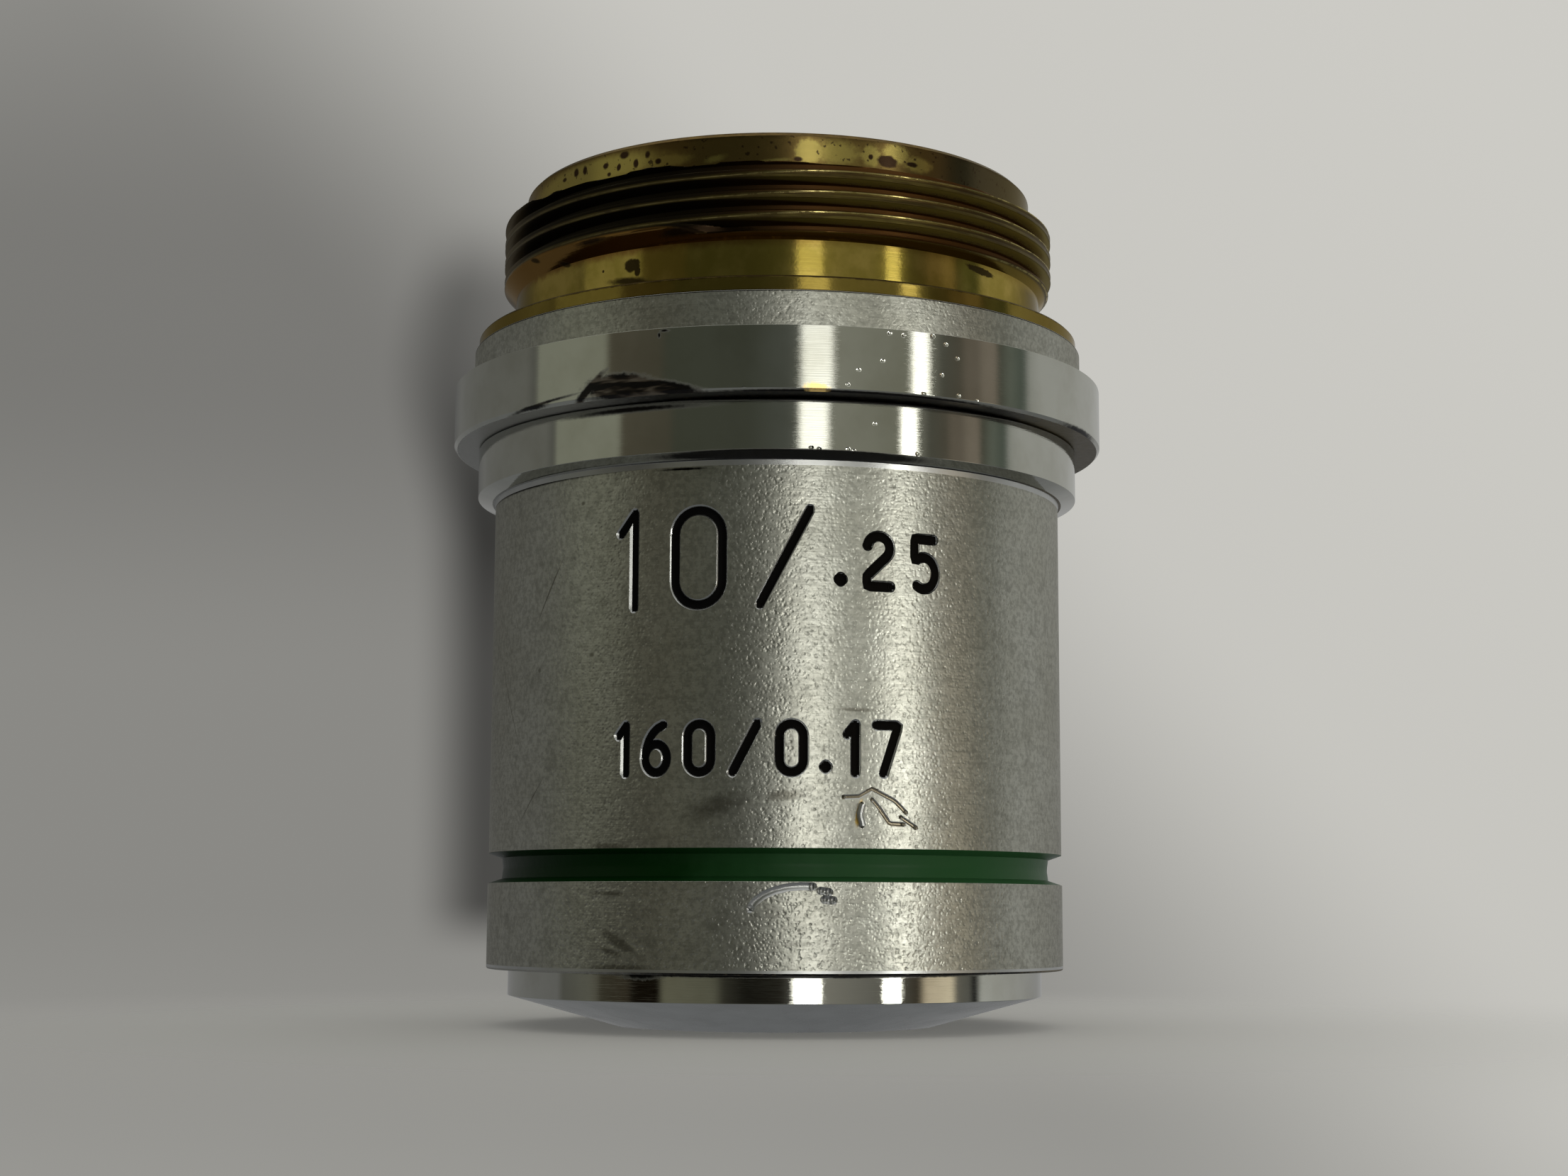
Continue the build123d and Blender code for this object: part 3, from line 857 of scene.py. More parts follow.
# %% [markdown]
# The thread is the one main shape that follows a rule: the radius depends on how far round and
# how far up the surface is. A Geometry Nodes tree bends a grid round the axis and shears it, so
# that its rows climb one pitch in each turn and run along the crests. Heights past either end
# are squeezed onto that end, where both chamfers bring the radius back to the plain turning, and
# merging then closes the seam. A right-hand thread rises to the right as seen from the front.

# %% A board for Geometry Nodes
THREAD_INPUTS = {
    "Crest Radius": crest_r,
    "Depth": thread_depth,
    "Pitch": pitch,
    "Low": neck_len,
    "High": pilot_low + 0.03,
    "Top Radius": pilot_r,
    "Crest Level": crest_level,
    "Root Flat": 0.20,
    "Crest Flat": 0.36,
    "Wear": 0.020,
}
ROWS_PER_TURN = 26
TURNS = 5


class FieldBoard(Board):
    """A board for a Geometry Nodes tree, with its inputs by name."""

    def __init__(self, name, sizes, material_names):
        tree = bpy.data.node_groups.new(name, "GeometryNodeTree")
        kinds = {"Geometry": "Geometry", **dict.fromkeys(sizes, "Float")}
        kinds.update(dict.fromkeys(material_names, "Material"))
        for label, kind in kinds.items():
            tree.interface.new_socket(label, in_out="INPUT", socket_type="NodeSocket" + kind)
        tree.interface.new_socket("Geometry", in_out="OUTPUT", socket_type="NodeSocketGeometry")
        super().__init__(tree)
        self.given = self.add("NodeGroupInput")

    def make(self, kind, **inputs):
        return self.add("GeometryNode" + kind, spaced(inputs))[0]

    def end(self, geometry):
        """Makes instances real and hands out what the tree made."""
        self.add("NodeGroupOutput", [(0, self.make("RealizeInstances", Geometry=geometry))])
        return self.tree


# %% [markdown]
# Across a ridge the flank is a mix of a soft and a straight rise, and the crest is a little
# hollow. On the left the lowest turn runs out into a plain shoulder, as it does where the tool
# left the cut, and the upper end is ragged. Noise bruises the crests.

# %% A tree for the thread
SOFT_FLANK = 0.30
HOLLOW = 0.020
CHIPPED = 0.07
WELD = 0.0005


def thread_tree():
    board = FieldBoard("thread_rule", THREAD_INPUTS, ["Finish"])
    plus, minus, times, calc = board.plus, board.minus, board.times, board.calc
    crest, depth, climb, low, high, top, crest_at, root_flat, crest_flat, wear = [
        board.given[name] for name in THREAD_INPUTS]
    grid = board.make("MeshGrid", Vertices_X=COLUMNS + 1, Vertices_Y=TURNS * ROWS_PER_TURN + 1)
    x, y, _ = board.axes(board.make("InputPosition"))
    round_share = plus(x, 0.5)
    row_level = plus(times(minus(times(plus(y, 0.5), float(TURNS)), 1.0), climb), low)
    free_level = plus(row_level, times(round_share, climb))
    level = calc("MINIMUM", board.most(free_level, low), high)

    from_crest = minus(plus(row_level, times(climb, 0.5)), crest_at)
    phase = calc("FRACT", board.over(from_crest, climb))
    ridge = calc("ABSOLUTE", minus(times(phase, 2.0), 1.0))
    flank_top = minus(1.0, crest_flat)
    rise = board.ease(ridge, root_flat, flank_top)
    steep = board.ease(ridge, root_flat, flank_top, "LINEAR")
    full_shape = plus(times(rise, SOFT_FLANK), times(steep, 1 - SOFT_FLANK))
    hollow = times(board.ease(ridge, 0.74, 0.96), HOLLOW)

    angle = plus(times(round_share, 2 * math.pi), math.pi / 2)
    around_x, around_y = calc("COSINE", angle), calc("SINE", angle)
    run_out = times(calc("LESS_THAN", from_crest, 0.0), board.ease(around_x, -0.16, -0.34))
    shape = board.most(full_shape, run_out)
    spot = board.point(times(around_x, 10.0), times(around_y, 10.0), free_level)
    bruised = times(board.ease(board.noise(spot, 1.8, 4.0, 0.65), 0.56, 0.74), wear)
    ragged = board.ease(board.noise(spot, 0.40, 1.0, 0.5), 0.35, 0.65)
    chips = times(ragged, board.ease(around_x, 0.25, -0.25), CHIPPED)

    root = minus(crest, depth)
    helix = minus(plus(root, times(shape, depth)), plus(hollow, times(shape, bruised)))
    low_cone = plus(root, minus(level, low))
    ledge = board.most(minus(minus(high, level), chips), 0.0)
    steepness = board.remap(board.ease(around_x, 0.2, -0.2), 4.5, 14.0)
    radius = calc("MINIMUM", helix, low_cone, plus(top, times(ledge, steepness)))
    moved = board.point(times(radius, around_x), times(radius, around_y), level)
    bent = board.make("SetPosition", Geometry=grid, Position=moved)
    merged = board.make("MergeByDistance", Geometry=bent, Distance=WELD)
    return board.end(board.make("SetMaterial", Geometry=merged, Material=board.given["Finish"]))


# %% [markdown]
# A modifier's inputs are set by each socket's identifier before the object is first evaluated.
# The evaluated result is then taken off as a plain mesh, and the modifier and its carrier go.

# %% Running a tree
def evaluated_mesh(thing):
    """The plain mesh that an object's modifiers make."""
    return bpy.data.meshes.new_from_object(thing.evaluated_get(bpy.context.evaluated_depsgraph_get()))


def grow(tree, carrier_data, inputs):
    """Runs a Geometry Nodes tree on a carrier and returns the plain mesh that it makes."""
    carrier = new_object("carrier", carrier_data)
    modifier = carrier.modifiers.new("rule", "NODES")
    modifier.node_group = tree
    sockets = {item.name: item.identifier for item in tree.interface.items_tree if item.in_out == "INPUT"}
    for name, value in inputs.items():
        modifier[sockets[name]] = value
    mesh = evaluated_mesh(carrier)
    bpy.data.objects.remove(carrier)
    return mesh


blank = bpy.data.meshes.new("thread")
thread_mesh = grow(thread_tree(), blank, {**THREAD_INPUTS, "Finish": finishes["brass"]})
print(f"thread: {len(thread_mesh.polygons)} faces over {TURNS} turns")

# %% [markdown]
# The brass end is one turning. Its section starts at the foot of the thread, goes down the neck
# and over the flange, round the spigot and up the bore, and ends at the head of the thread. The
# thread's own mesh fills the gap, and because both have the same columns, they weld exactly.

# %% The brass end
relief_r = crest_r + 0.13
spigot_r = 9.00
spigot_bore_r = 7.90
spigot_lip_r = spigot_bore_r - 0.90
pilot_bore_r = 8.05
brass_section = [(*corner, "brass") for corner in [
    (pilot_r, THREAD_INPUTS["High"], 0),
    (pilot_r, mouth_z - 0.14, 0.05),
    (pilot_r - 0.14, mouth_z, 0.05),
    (pilot_bore_r + 0.35, mouth_z, 0.04),
    (pilot_bore_r, mouth_z - 0.35, 0.04),
    (pilot_bore_r, 0, 0),
    (spigot_bore_r, flange_low, 0),
    (spigot_bore_r, spigot_low + 0.60, 0),
    (spigot_lip_r, spigot_low + 0.60, 0),
    (spigot_lip_r, spigot_low, 0.03),
    (spigot_r, spigot_low, 0.05),
    (spigot_r, flange_low, 0),
    (flange_r, flange_low, 0.012),
    (flange_r, -0.06, 0.02),
    (flange_r - 0.06, 0, 0.02),
    (relief_r, 0, 0.02),
    (relief_r, -0.05, 0),
    (neck_r, -0.05, 0.05),
    (neck_r, neck_len, 0),
]]


def weld(name, parts, extra):
    """One piece from lathe parts and an extra mesh in millimetres."""
    vertices, faces, names, normals = parts
    points = np.zeros(len(extra.vertices) * 3)
    extra.vertices.foreach_get("co", points)
    more = [[len(vertices) + index for index in face.vertices] for face in extra.polygons]
    no_normals = np.zeros((sum(len(face) for face in more), 3))
    vertices = np.concatenate([vertices, points.reshape(-1, 3)])
    normals = np.concatenate([normals, no_normals])
    return build(name, vertices, faces + more, names + ["brass"] * len(more), normals)


brass_end = weld("brass_end", turned_parts(brass_section, closed=False), thread_mesh)
stand_for(brass_end, "thread_mount")

# %% [markdown]
# The collar is blasted above and polished below. Its lower edge carries a small bevel, where
# most of the dark marks gather: grease and dirt, and across the front a near-black line that
# is a painted dark reflection.

# %% The collar
collar_bore_r = spigot_r + 0.03
collar_step = -1.87
collar_section = [
    (collar_bore_r, collar_low, 0, "residue"),
    (collar_r - 0.10, collar_low, 0.02, "polished"),
    (collar_r, collar_low + 0.10, 0.02, "polished"),
    (collar_r, collar_step, 0.012, "polished"),
    (collar_satin_r, collar_step, 0.02, "blasted_collar"),
    (collar_satin_r, flange_low, 0.012, "smooth"),
    (collar_bore_r, flange_low, 0, "smooth"),
]
stand_for(build("plated_collar", *turned_parts(collar_section)), "shoulder_collar")

# %% [markdown]
# The sleeve carries most of the visible surface. Going down it: the land in the joint gap, the
# polished ring and its chamfer, a smooth neck where the blasting was masked, the barrel, the
# groove, and the band. The groove's slanted walls are enamelled with its floor.

# %% The sleeve before engraving
ring_top = collar_low - 0.05
ring_low = collar_low - 1.77
gap_r = ring_r - 0.62
barrel_top = ring_low - 0.17
barrel_low = barrel_top - 12.64
groove_low = barrel_low - 1.06
groove_floor_r = barrel_r - 0.57
slant = 0.20
neck_proud = 0.025
neck_drop = 0.20
seat_z = barrel_top - 4.20
tube_hole_r = 7.62
cap_hole_r = 8.93
cap_hole_top = band_low + 2.15
sleeve_section = [
    (collar_bore_r, collar_low, 0, "smooth"),
    (gap_r, collar_low, 0, "residue"),
    (gap_r, ring_top, 0, "residue"),
    (ring_r - 0.15, ring_top, 0, "polished_sleeve"),
    (ring_r, ring_top, 0.035, "polished_sleeve"),
    (ring_r, ring_low, 0.02, "polished_sleeve"),
    (ring_r - 0.52, barrel_top, 0.02, "residue"),
    (barrel_r + neck_proud, barrel_top - 0.02, 0.01, "fillet"),
    (barrel_r, barrel_top - neck_drop, 0.10, "blasted"),
    (barrel_r, barrel_low, 0.015, "green"),
    (groove_floor_r, barrel_low - slant, 0.05, "green"),
    (groove_floor_r, groove_low + slant, 0.05, "green"),
    (band_r, groove_low, 0.015, "blasted_band"),
    (band_r, band_low + 0.16, 0, "fillet"),
    (band_r, band_low, 0.07, "residue"),
    (cap_hole_r, band_low, 0, "smooth"),
    (cap_hole_r, cap_hole_top, 0, "smooth"),
    (tube_hole_r, cap_hole_top, 0, "smooth"),
    (tube_hole_r, seat_z, 0, "smooth"),
    (collar_bore_r, seat_z, 0, "smooth"),
]
sleeve = build("plated_sleeve", *turned_parts(sleeve_section))
print(f"barrel from {barrel_top:.2f} to {barrel_low:.2f} mm")

# %% [markdown]
# The figures were cut with a round-nosed cutter that followed each stroke round the barrel, and
# the grooves were then filled with black. So each figure is described as the cutter's path on
# the unrolled barrel: straight runs and bows, in millimetres. A stroke needs only the points
# that its shape needs. The figures give the power, the aperture, and in the lower line the
# usual tube length and cover glass, which are plain numbers on any objective of this kind.

# %% Strokes of the figures
BOW_STEP = 15


def bow(x, y, rx, ry, start, stop):
    """Points of an elliptical bow from one angle to another, in degrees."""
    count = max(2, round(abs(stop - start) / BOW_STEP))
    angles = [math.radians(start + (stop - start) * k / count) for k in range(count + 1)]
    return [(x + rx * math.cos(a), y + ry * math.sin(a)) for a in angles]


def figure(sign, w, h):
    """Strokes of one figure, w wide and h high, from its lower left corner."""
    r = w / 2
    if sign == "0":
        return [bow(r, h - r, r, r, 180, 0) + bow(r, r, r, r, 0, -180) + [(0, h - r)]]
    if sign == "1":
        return [[(w, h), (w, 0)], [(w, h), (w - 0.17 * h, h - 0.21 * h)]]
    if sign == "2":
        return [bow(r, h - r, r, r, 170, -40) + [(0, 0.20 * h), (0, 0), (w, 0)]]
    if sign == "5":
        bowl = bow(0.42 * w, 0.32 * h, 0.58 * w, 0.32 * h, 110, -125)
        return [[(0.9 * w, h), (0, h), (0, 0.56 * h)] + bowl]
    if sign == "6":
        return [bow(r, 0.30 * h, r, 0.30 * h, 180, -180), bow(w, 0.30 * h, w, 0.70 * h, 180, 100)]
    if sign == "7":
        return [[(0, h), (w, h), (0.32 * w, 0)]]
    if sign == "/":
        return [[(0, 0), (w, h)]]
    return [[(-0.06, 0.18), (0.06, 0.18)], [(0, 0.12), (0, 0.24)]]


def line_of_figures(signs, left, foot, height, width, gap, slash_width=0.0):
    """Strokes of a line of figures, each placed after the one before it."""
    strokes, x = [], left
    for sign in signs:
        w = {"/": slash_width, ".": 0.0, "1": 0.17 * height}.get(sign, width)
        strokes += [[(x + px, foot + py) for px, py in stroke] for stroke in figure(sign, w, height)]
        x += w + gap
    print(f"figures {signs}: {left:.2f} to {x - gap:.2f} mm along the barrel")
    return strokes


power = line_of_figures("10", -5.36, -10.77, 3.13, 1.60, 1.48)
slash = line_of_figures("/", -0.50, -10.77, 3.13, 0, 0, 1.62)
aperture = line_of_figures(".25", 2.14, -10.10, 1.66, 0.80, 0.91)
lower_line = line_of_figures("160/0.17", -5.35, -16.20, 1.56, 0.78, 0.72, 0.80)

# %% [markdown]
# The cutter's paths are wrapped on the barrel and swept by a Geometry Nodes tree, because a
# path that follows a surface is a rule too: the path's x becomes an angle, and a circle is
# swept along it with a ball at each end, as a ball-nosed cutter leaves it. The circle's centre
# stands off the surface, and the further it does, the flatter the cut's sides are. Faces below
# the filling's depth take the black, and the wall above them stays bare.

# %% A tree for the cutter
CUTTER_INPUTS = {"Barrel Radius": barrel_r, "Cutter Radius": 0.172, "Stand Off": 0.06, "Filling Depth": 0.05}
PATH_STEP = 0.10
CUTTER_SIDES = 14


def cutter_tree():
    board = FieldBoard("cutter_on_barrel", CUTTER_INPUTS, ["Wall", "Filling"])
    barrel, cutter, stand_off, filling_depth = [board.given[name] for name in CUTTER_INPUTS]
    drawn = [("Curve", board.given["Geometry"]), ("Length", PATH_STEP)]
    stepped = board.add("GeometryNodeResampleCurve", drawn, mode="LENGTH")[0]
    x, height, _ = board.axes(board.make("InputPosition"))
    angle, reach = board.over(x, barrel), board.plus(barrel, stand_off)
    across = board.times(reach, board.calc("SINE", angle))
    wrapped = board.point(across, board.times(reach, board.calc("COSINE", angle), -1.0), height)
    path = board.make("SetPosition", Geometry=stepped, Position=wrapped)
    circle = board.make("CurvePrimitiveCircle", Resolution=CUTTER_SIDES, Radius=cutter)
    swept = board.make("CurveToMesh", Curve=path, Profile_Curve=circle, Fill_Caps=True)
    ball = board.make("MeshUVSphere", Segments=CUTTER_SIDES, Rings=8, Radius=cutter)
    ends = board.make("CurveEndpointSelection")
    balls = board.make("InstanceOnPoints", Points=path, Selection=ends, Instance=ball)
    balls = board.make("RealizeInstances", Geometry=balls)
    joined = board.add("GeometryNodeJoinGeometry", [(0, swept), (0, balls)])[0]
    bare = board.make("SetMaterial", Geometry=joined, Material=board.given["Wall"])
    x, y, _ = board.axes(board.make("InputPosition"))
    deep = board.calc("LESS_THAN", board.off_axis(x, y), board.minus(barrel, filling_depth))
    filled = board.make("SetMaterial", Geometry=bare, Selection=deep, Material=board.given["Filling"])
    return board.end(filled)


def flat_curve(strokes):
    """Strokes as the splines of one curve on the flat map."""
    data = bpy.data.curves.new("strokes", "CURVE")
    data.dimensions = "3D"
    for stroke in strokes:
        spline = data.splines.new("POLY")
        spline.points.add(len(stroke) - 1)
        for point, (px, py) in zip(spline.points, stroke):
            point.co = (px, py, 0, 1)
    return data


# %% [markdown]
# The sweeps are cut out of the sleeve by an exact boolean. The overlapping sweeps of one figure
# are allowed to cross, and the cut faces bring their own finishes with them. A wide shallow cut
# comes first and leaves a slanted rim of bare metal along each stroke, which catches the lamps
# on its left side, and the narrow deep cut that holds the filling follows in its middle. The
# nick in the band and the scuffs under the figures are cut the same way, only shallower.

# %% Cutting the figures and the scratches
cutter_rule = cutter_tree()


def cut(piece, strokes, wall, filling, **sizes):
    """Sweeps the strokes and cuts them out of the piece."""
    inputs = {**CUTTER_INPUTS, **dict(spaced(sizes)), "Wall": finishes[wall], "Filling": finishes[filling]}
    mesh = grow(cutter_rule, flat_curve(strokes), inputs)
    mesh.transform(Matrix.Scale(MM, 4))
    boolean = piece.modifiers.new("cut", "BOOLEAN")
    boolean.operation = "DIFFERENCE"
    boolean.solver = "EXACT"
    boolean.use_self = True
    boolean.material_mode = "TRANSFER"
    boolean.object = new_object("tool", mesh)
    result = evaluated_mesh(piece)
    bpy.data.objects.remove(boolean.object)
    piece.modifiers.clear()
    print(f"{piece.name}: {len(piece.data.polygons)} faces before the cut, {len(result.polygons)} after")
    piece.data = result


nick = [
    bow(0.95, -20.75, 1.75, 0.92, 168, 92) + [(1.25, -19.84)],
    [(1.48, -19.98), (1.78, -20.02)],
    [(1.60, -20.26), (1.92, -20.28)],
]
scuffs = [
    [(2.24, -16.98), (2.75, -16.96), (3.20, -16.71), (3.99, -17.08), (4.40, -17.45)],
    [(3.20, -17.05), (3.44, -17.32), (3.81, -17.81), (4.30, -17.83)],
    [(4.20, -17.60), (4.76, -17.93)],
    [(2.85, -17.20), (2.76, -17.55), (2.86, -17.90)],
]
cut(sleeve, power + lower_line, "smooth", "smooth", Cutter_Radius=0.275, Stand_Off=0.197)
cut(sleeve, slash, "smooth", "smooth", Cutter_Radius=0.36, Stand_Off=0.302)
cut(sleeve, power + slash + lower_line, "smooth", "filling")
cut(sleeve, aperture, "smooth", "filling", Cutter_Radius=0.20)
cut(sleeve, nick, "fillet", "fillet", Cutter_Radius=0.17, Stand_Off=0.125, Filling_Depth=0.04)
cut(sleeve, scuffs, "fillet", "scuffed", Cutter_Radius=0.11, Stand_Off=0.075, Filling_Depth=0.010)
stand_for(sleeve, "body_sleeve")

# %% [markdown]
# The enamel in the groove is a thin ring with a slightly hollow face, drawn up at both walls by
# its own surface tension as it dried.

# %% The green ring
SAG = 0.05
DRAWN_UP = 0.02
enamel_section = [
    (groove_floor_r, paint_low, 0, "green"),
    (paint_r, paint_low - DRAWN_UP, 0.02, "green"),
    (paint_r - SAG, (paint_low + paint_top) / 2, 0.6, "green"),
    (paint_r, paint_top + DRAWN_UP, 0.02, "green"),
    (groove_floor_r, paint_top, 0, "green"),
]
stand_for(build("green_ring", *turned_parts(enamel_section)), "colour_band")

# %% [markdown]
# The cap is polished on its step and plain on its cone. The step's lower edge is the sharpest
# visible edge of the cap, so its arc is small.

# %% The nose cap
step_low = band_low - 0.92
cap_thread_r = 8.90
cap_bore_r = 7.65
nose_hole_r = 4.85
nose_flat_r = 5.70
cap_floor_z = nose_z + 1.35
cap_section = [
    (nose_hole_r, nose_z, 0.03, "smooth"),
    (nose_flat_r, nose_z, 0.12, "smooth"),
    (step_r, step_low, 0.025, "step"),
    (step_r, band_low, 0, "smooth"),
    (cap_thread_r, band_low, 0, "smooth"),
    (cap_thread_r, cap_top, 0.05, "smooth"),
    (cap_bore_r, cap_top, 0.05, "smooth"),
    (cap_bore_r, cap_floor_z, 0, "smooth"),
    (nose_hole_r, cap_floor_z, 0, "smooth"),
]
stand_for(build("plated_cap", *turned_parts(cap_section)), "nose_cap")

# %% [markdown]
# Everything inside keeps its own solid from the frame, because its shape is right already. It
# only needs a finish in its material slots.

# %% Finishes for the pieces inside
INSIDE = {
    "black": [
        "baffle_cup", "tube_lock_ring", "lens_tube", "stack_lock_ring", "aperture_stop", "rear_cell",
        "rear_lens_ring", "cell_spacer", "front_cell", "front_lens_ring",
    ],
    "brass": ["parfocal_shim"],
    "glass": ["rear_crown", "rear_flint", "front_crown", "front_flint"],
}
for finish, nodes in INSIDE.items():
    for node in nodes:
        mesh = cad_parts[node].data
        mesh.materials.clear()
        mesh.materials.append(finishes[finish])
    print(f"inside, in {finish}: {len(nodes)} pieces keep their solids")

# %% [markdown]
# The stage is a pale floor and a room that polished metal can mirror. The floor is a disc that
# thins out to nothing with distance, so no horizon line crosses the picture, and its colour is
# painted a little paler on the lit side, a painted pool of light. Mirror rays pass through it
# and see the room instead, or the polished step would show only the floor.

# %% The floor
FLOOR_RADIUS = 400.0
FLOOR_GAP = 0.01
FLOOR_TONE = (0.74, 0.735, 0.705)
FLOOR_LIT = (0.95, 0.94, 0.91)
FLOOR_FADES = (10.0, 52.0)

floor_mesh = bpy.data.meshes.new("floor")
edit = bmesh.new()
bmesh.ops.create_circle(edit, cap_ends=True, segments=96, radius=FLOOR_RADIUS * MM)
edit.to_mesh(floor_mesh)
edit.free()
floor_mesh.transform(Matrix.Translation((0, 0, (nose_z - FLOOR_GAP) * MM)))
floor = new_object("floor", floor_mesh)

floor_finish = bpy.data.materials.new("pale_floor")
floor_finish.use_nodes = True
board = Board(floor_finish.node_tree)
position = board.millimetres()
away = board.add("ShaderNodeVectorMath", [(0, position)], operation="LENGTH")["Value"]
mirrored = board.add("ShaderNodeLightPath")["Is Glossy Ray"]
gone = board.most(board.ease(away, *FLOOR_FADES), mirrored)
# Painted light: the floor's colour is paler towards the lit side.
tone = board.colours(board.ease(board.axes(position)[0], -12.0, 30.0), FLOOR_TONE, FLOOR_LIT)
pale = board.add("ShaderNodeBsdfDiffuse", [("Color", tone)])[0]
clear = board.add("ShaderNodeBsdfTransparent")[0]
mixed = board.add("ShaderNodeMixShader", [(0, gone), (1, pale), (2, clear)])[0]
board.add("ShaderNodeOutputMaterial", [("Surface", mixed)])
floor_mesh.materials.append(floor_finish)
print(f"floor seen up to {FLOOR_FADES[1]:.0f} mm from the middle of the objective")

# %% [markdown]
# The room is two rings of panels round the object, each written as a colour ramp over the
# compass: 0 is behind the camera, and the angle grows to the right. The upper ring is what the
# polished rings mirror. The lower one is what the step of the cap mirrors, close to the table,
# where dark things stood. Above is a ceiling and below is the table.

# %% The panels of the room
UPPER_PANELS = [
    (-180, (0.13, 0.13, 0.125)),
    (-168, (0.095, 0.095, 0.092)),
    (-150, (0.160, 0.160, 0.155)),
    (-97, (0.155, 0.155, 0.143)),
    (-92, (0.110, 0.110, 0.100)),
    (-90, (0.245, 0.25, 0.205)),
    (-61, (0.26, 0.265, 0.215)),
    (-59, (0.095, 0.086, 0.064)),
    (-40, (0.080, 0.074, 0.055)),
    (-38, (0.062, 0.066, 0.050)),
    (-10, (0.062, 0.066, 0.052)),
    (4, (0.090, 0.096, 0.084)),
    (20, (0.28, 0.28, 0.24)),
    (45, (0.23, 0.23, 0.19)),
    (56, (0.19, 0.19, 0.16)),
    (58, (0.095, 0.095, 0.078)),
    (66, (0.100, 0.090, 0.070)),
    (68, (0.155, 0.132, 0.105)),
    (74, (0.160, 0.136, 0.110)),
    (75, (0.215, 0.185, 0.150)),
    (81, (0.230, 0.195, 0.160)),
    (83, (0.085, 0.086, 0.068)),
    (88, (0.140, 0.155, 0.130)),
    (95, (0.085, 0.102, 0.086)),
    (98, (0.34, 0.345, 0.325)),
    (104, (0.41, 0.412, 0.395)),
    (165, (0.42, 0.42, 0.41)),
    (180, (0.13, 0.13, 0.125)),
]
LOWER_PANELS = [
    (-180, (0.36, 0.36, 0.36)),
    (-166, (0.21, 0.21, 0.21)),
    (-134, (0.19, 0.19, 0.19)),
    (-104, (0.17, 0.17, 0.17)),
    (-100, (0.105, 0.105, 0.095)),
    (-84, (0.145, 0.145, 0.125)),
    (-80, (0.120, 0.115, 0.095)),
    (-77, (0.050, 0.045, 0.032)),
    (-64, (0.038, 0.030, 0.020)),
    (-61, (0.006, 0.004, 0.002)),
    (-49, (0.006, 0.004, 0.002)),
    (-47, (0.155, 0.150, 0.110)),
    (-25, (0.140, 0.138, 0.105)),
    (-21, (0.040, 0.038, 0.030)),
    (-12, (0.010, 0.009, 0.007)),
    (3, (0.018, 0.016, 0.012)),
    (19, (0.26, 0.25, 0.225)),
    (41, (0.17, 0.165, 0.150)),
    (52, (0.090, 0.085, 0.070)),
    (63, (0.055, 0.045, 0.032)),
    (66, (0.66, 0.56, 0.42)),
    (80, (0.86, 0.75, 0.57)),
    (82, (0.18, 0.17, 0.15)),
    (90, (0.13, 0.13, 0.12)),
    (92, (0.015, 0.015, 0.015)),
    (94, (0.015, 0.015, 0.015)),
    (97, (0.49, 0.495, 0.48)),
    (118, (0.42, 0.42, 0.41)),
    (150, (0.31, 0.31, 0.31)),
    (180, (0.36, 0.36, 0.36)),
]
CEILING = (0.72, 0.72, 0.70)
TABLE = (0.155, 0.160, 0.163)


def ring_of_panels(board, compass, panels):
    """A colour ramp over the compass, which is an angle in radians."""
    share = board.plus(board.over(compass, 2 * math.pi), 0.5)
    shown = board.add("ShaderNodeValToRGB", [(0, share)])[0]
    stops = shown.node.color_ramp.elements
    while len(stops) < len(panels):
        stops.new(0.5)
    for stop, (degrees, tone) in zip(stops, panels):
        stop.position = degrees / 360 + 0.5
        stop.color = (*tone, 1.0)
    return shown


world = bpy.data.worlds.new("room")
world.use_nodes = True
scene.world = world
board = Board(world.node_tree)
x, y, z = board.axes(board.add("ShaderNodeTexCoord")["Generated"])
compass = board.around(x, y)
upper = ring_of_panels(board, compass, UPPER_PANELS)
lower = ring_of_panels(board, compass, LOWER_PANELS)
room = board.colours(board.ease(z, 0.10, -0.02), upper, lower)
room = board.tint(room, CEILING, board.ease(z, 0.50, 0.92))
room = board.tint(room, TABLE, board.ease(z, -0.04, -0.52))
print(f"room with {len(UPPER_PANELS)} upper and {len(LOWER_PANELS)} lower stops round the compass")

# %% [markdown]
# What the camera itself sees behind the object is a plain pale backdrop, lit from the upper
# right and in half shade at the lower left. Smooth steps of the direction draw the soft edge of
# that shade, a darker cloud in it, and the soft shadow that the object casts at its left, which
# stands out further beside the rings. From the sides and the back it is evenly pale.

# %% The backdrop
HALF_SHADE = 0.255
FULL_LIGHT = 0.535
CLOUD = 0.062
CAST_SHADOW = 0.185
BULGE = 0.013
ELSEWHERE = 0.50
PALE_GREEN = 0.985
PALE_BLUE = 0.925

lit = board.ease(board.plus(x, board.times(z, 0.9)), 0.03, 0.29)
shade = board.plus(HALF_SHADE, board.times(board.calc("MINIMUM", z, 0.0), -0.55))
shade = board.minus(shade, board.times(board.near(z, 0.235, 0.145, 0.02), CLOUD))
bulge = board.near(z, 0.215, 0.07, 0.0)
beside = board.times(
    board.ease(board.plus(x, board.times(bulge, BULGE)), -0.153, -0.121),
    board.ease(x, 0.05, -0.05),
    board.ease(z, 0.285, 0.245),
    board.ease(z, -0.020, 0.005),
)
shade = board.minus(shade, board.times(beside, board.remap(bulge, CAST_SHADOW, CAST_SHADOW * 0.60)))
light = board.plus(board.times(board.plus(x, z), 0.12), FULL_LIGHT)
level = board.between(board.ease(y, 0.70, 0.92), ELSEWHERE, board.between(lit, shade, light))
pale = [(0, level), (1, board.times(level, PALE_GREEN)), (2, board.times(level, PALE_BLUE))]
backdrop = board.add("ShaderNodeCombineColor", pale)[0]
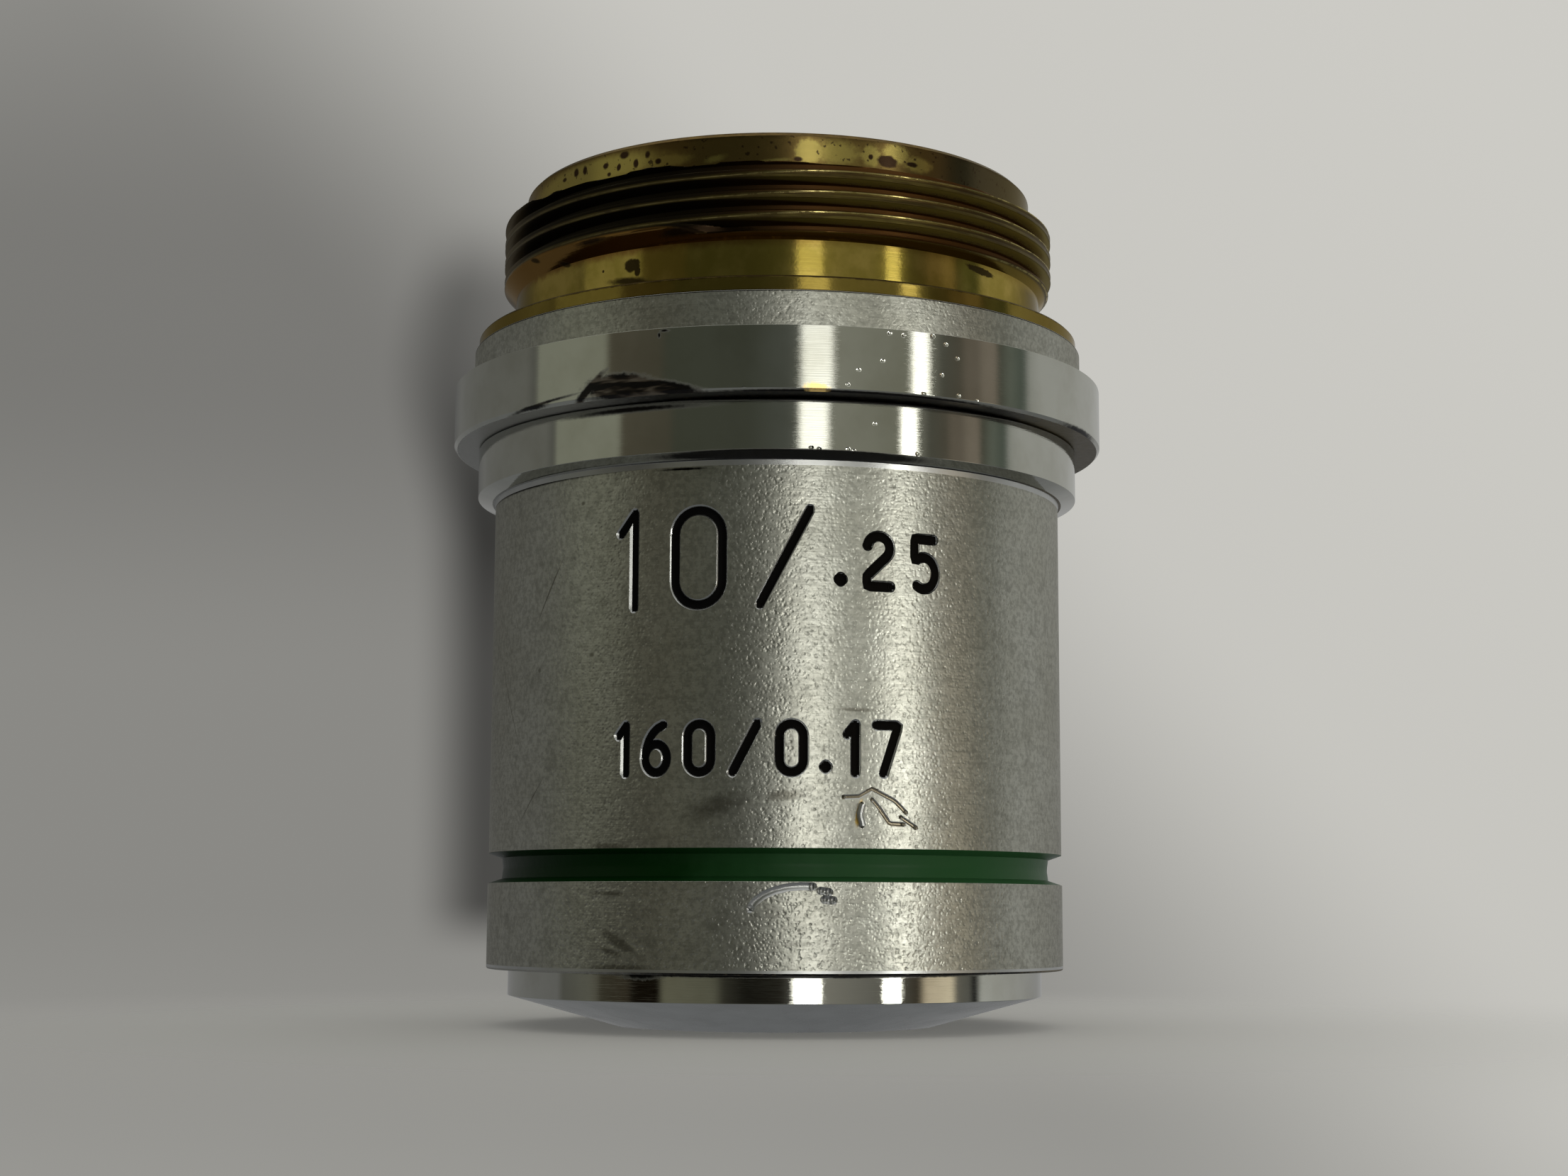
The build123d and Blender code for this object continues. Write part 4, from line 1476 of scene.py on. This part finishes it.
shown = board.colours(board.add("ShaderNodeLightPath")["Is Camera Ray"], room, backdrop)
background = board.add("ShaderNodeBackground", [("Color", shown), ("Strength", 1.0)])[0]
board.add("ShaderNodeOutputWorld", [("Surface", background)])
print(f"backdrop from {HALF_SHADE} in the shade to {FULL_LIGHT} in the light")

# %% [markdown]
# Two tall lamps give the two bright stripes that every polished ring shows, and the wide
# highlight on the blasted metal. They are cards that glow, hidden from the camera. They fade
# towards the top and are boosted at the foot, because the stripes of the photograph are
# brightest low down, on the step of the cap.

# %% The two tall lamps
LAMP_AWAY = 500.0
LAMPS = [("lamp_wide", 13.5, 10.5, 3.4), ("lamp_narrow", 49.6, 6.2, 7.0)]
LAMP_WEAK = 0.95
LAMP_FOOT = -55.0
LAMP_HEAD = 330.0
LAMP_STRONG = (170.0, -20.0)
LAMP_BOOST = 2.7
LAMP_BOOSTED = (5.0, -32.0)
LAMP_TONE = (1.0, 0.99, 0.93, 1.0)


def lamp(name, degrees, spread, strength):
    """A glowing card that is `spread` degrees wide as seen from the object."""
    half = LAMP_AWAY * math.tan(math.radians(spread / 2))
    outline = [(-half, LAMP_FOOT), (half, LAMP_FOOT), (half, LAMP_HEAD), (-half, LAMP_HEAD)]
    mesh = bpy.data.meshes.new(name)
    mesh.from_pydata([(across * MM, -LAMP_AWAY * MM, up * MM) for across, up in outline], [], [(0, 1, 2, 3)])
    mesh.transform(Matrix.Rotation(math.radians(degrees), 4, "Z"))
    glow = bpy.data.materials.new(name)
    glow.use_nodes = True
    board = Board(glow.node_tree)
    height = board.axes(board.millimetres())[2]
    falloff = board.times(
        board.remap(board.ease(height, *LAMP_STRONG), LAMP_WEAK, strength),
        board.remap(board.ease(height, *LAMP_BOOSTED), 1.0, LAMP_BOOST),
    )
    emission = board.add("ShaderNodeEmission", [("Color", LAMP_TONE), ("Strength", falloff)])[0]
    board.add("ShaderNodeOutputMaterial", [("Surface", emission)])
    mesh.materials.append(glow)
    card = new_object(name, mesh)
    card.visible_camera = False


for settings in LAMPS:
    lamp(*settings)
print(f"{len(LAMPS)} lamps, {LAMP_AWAY:.0f} mm away")
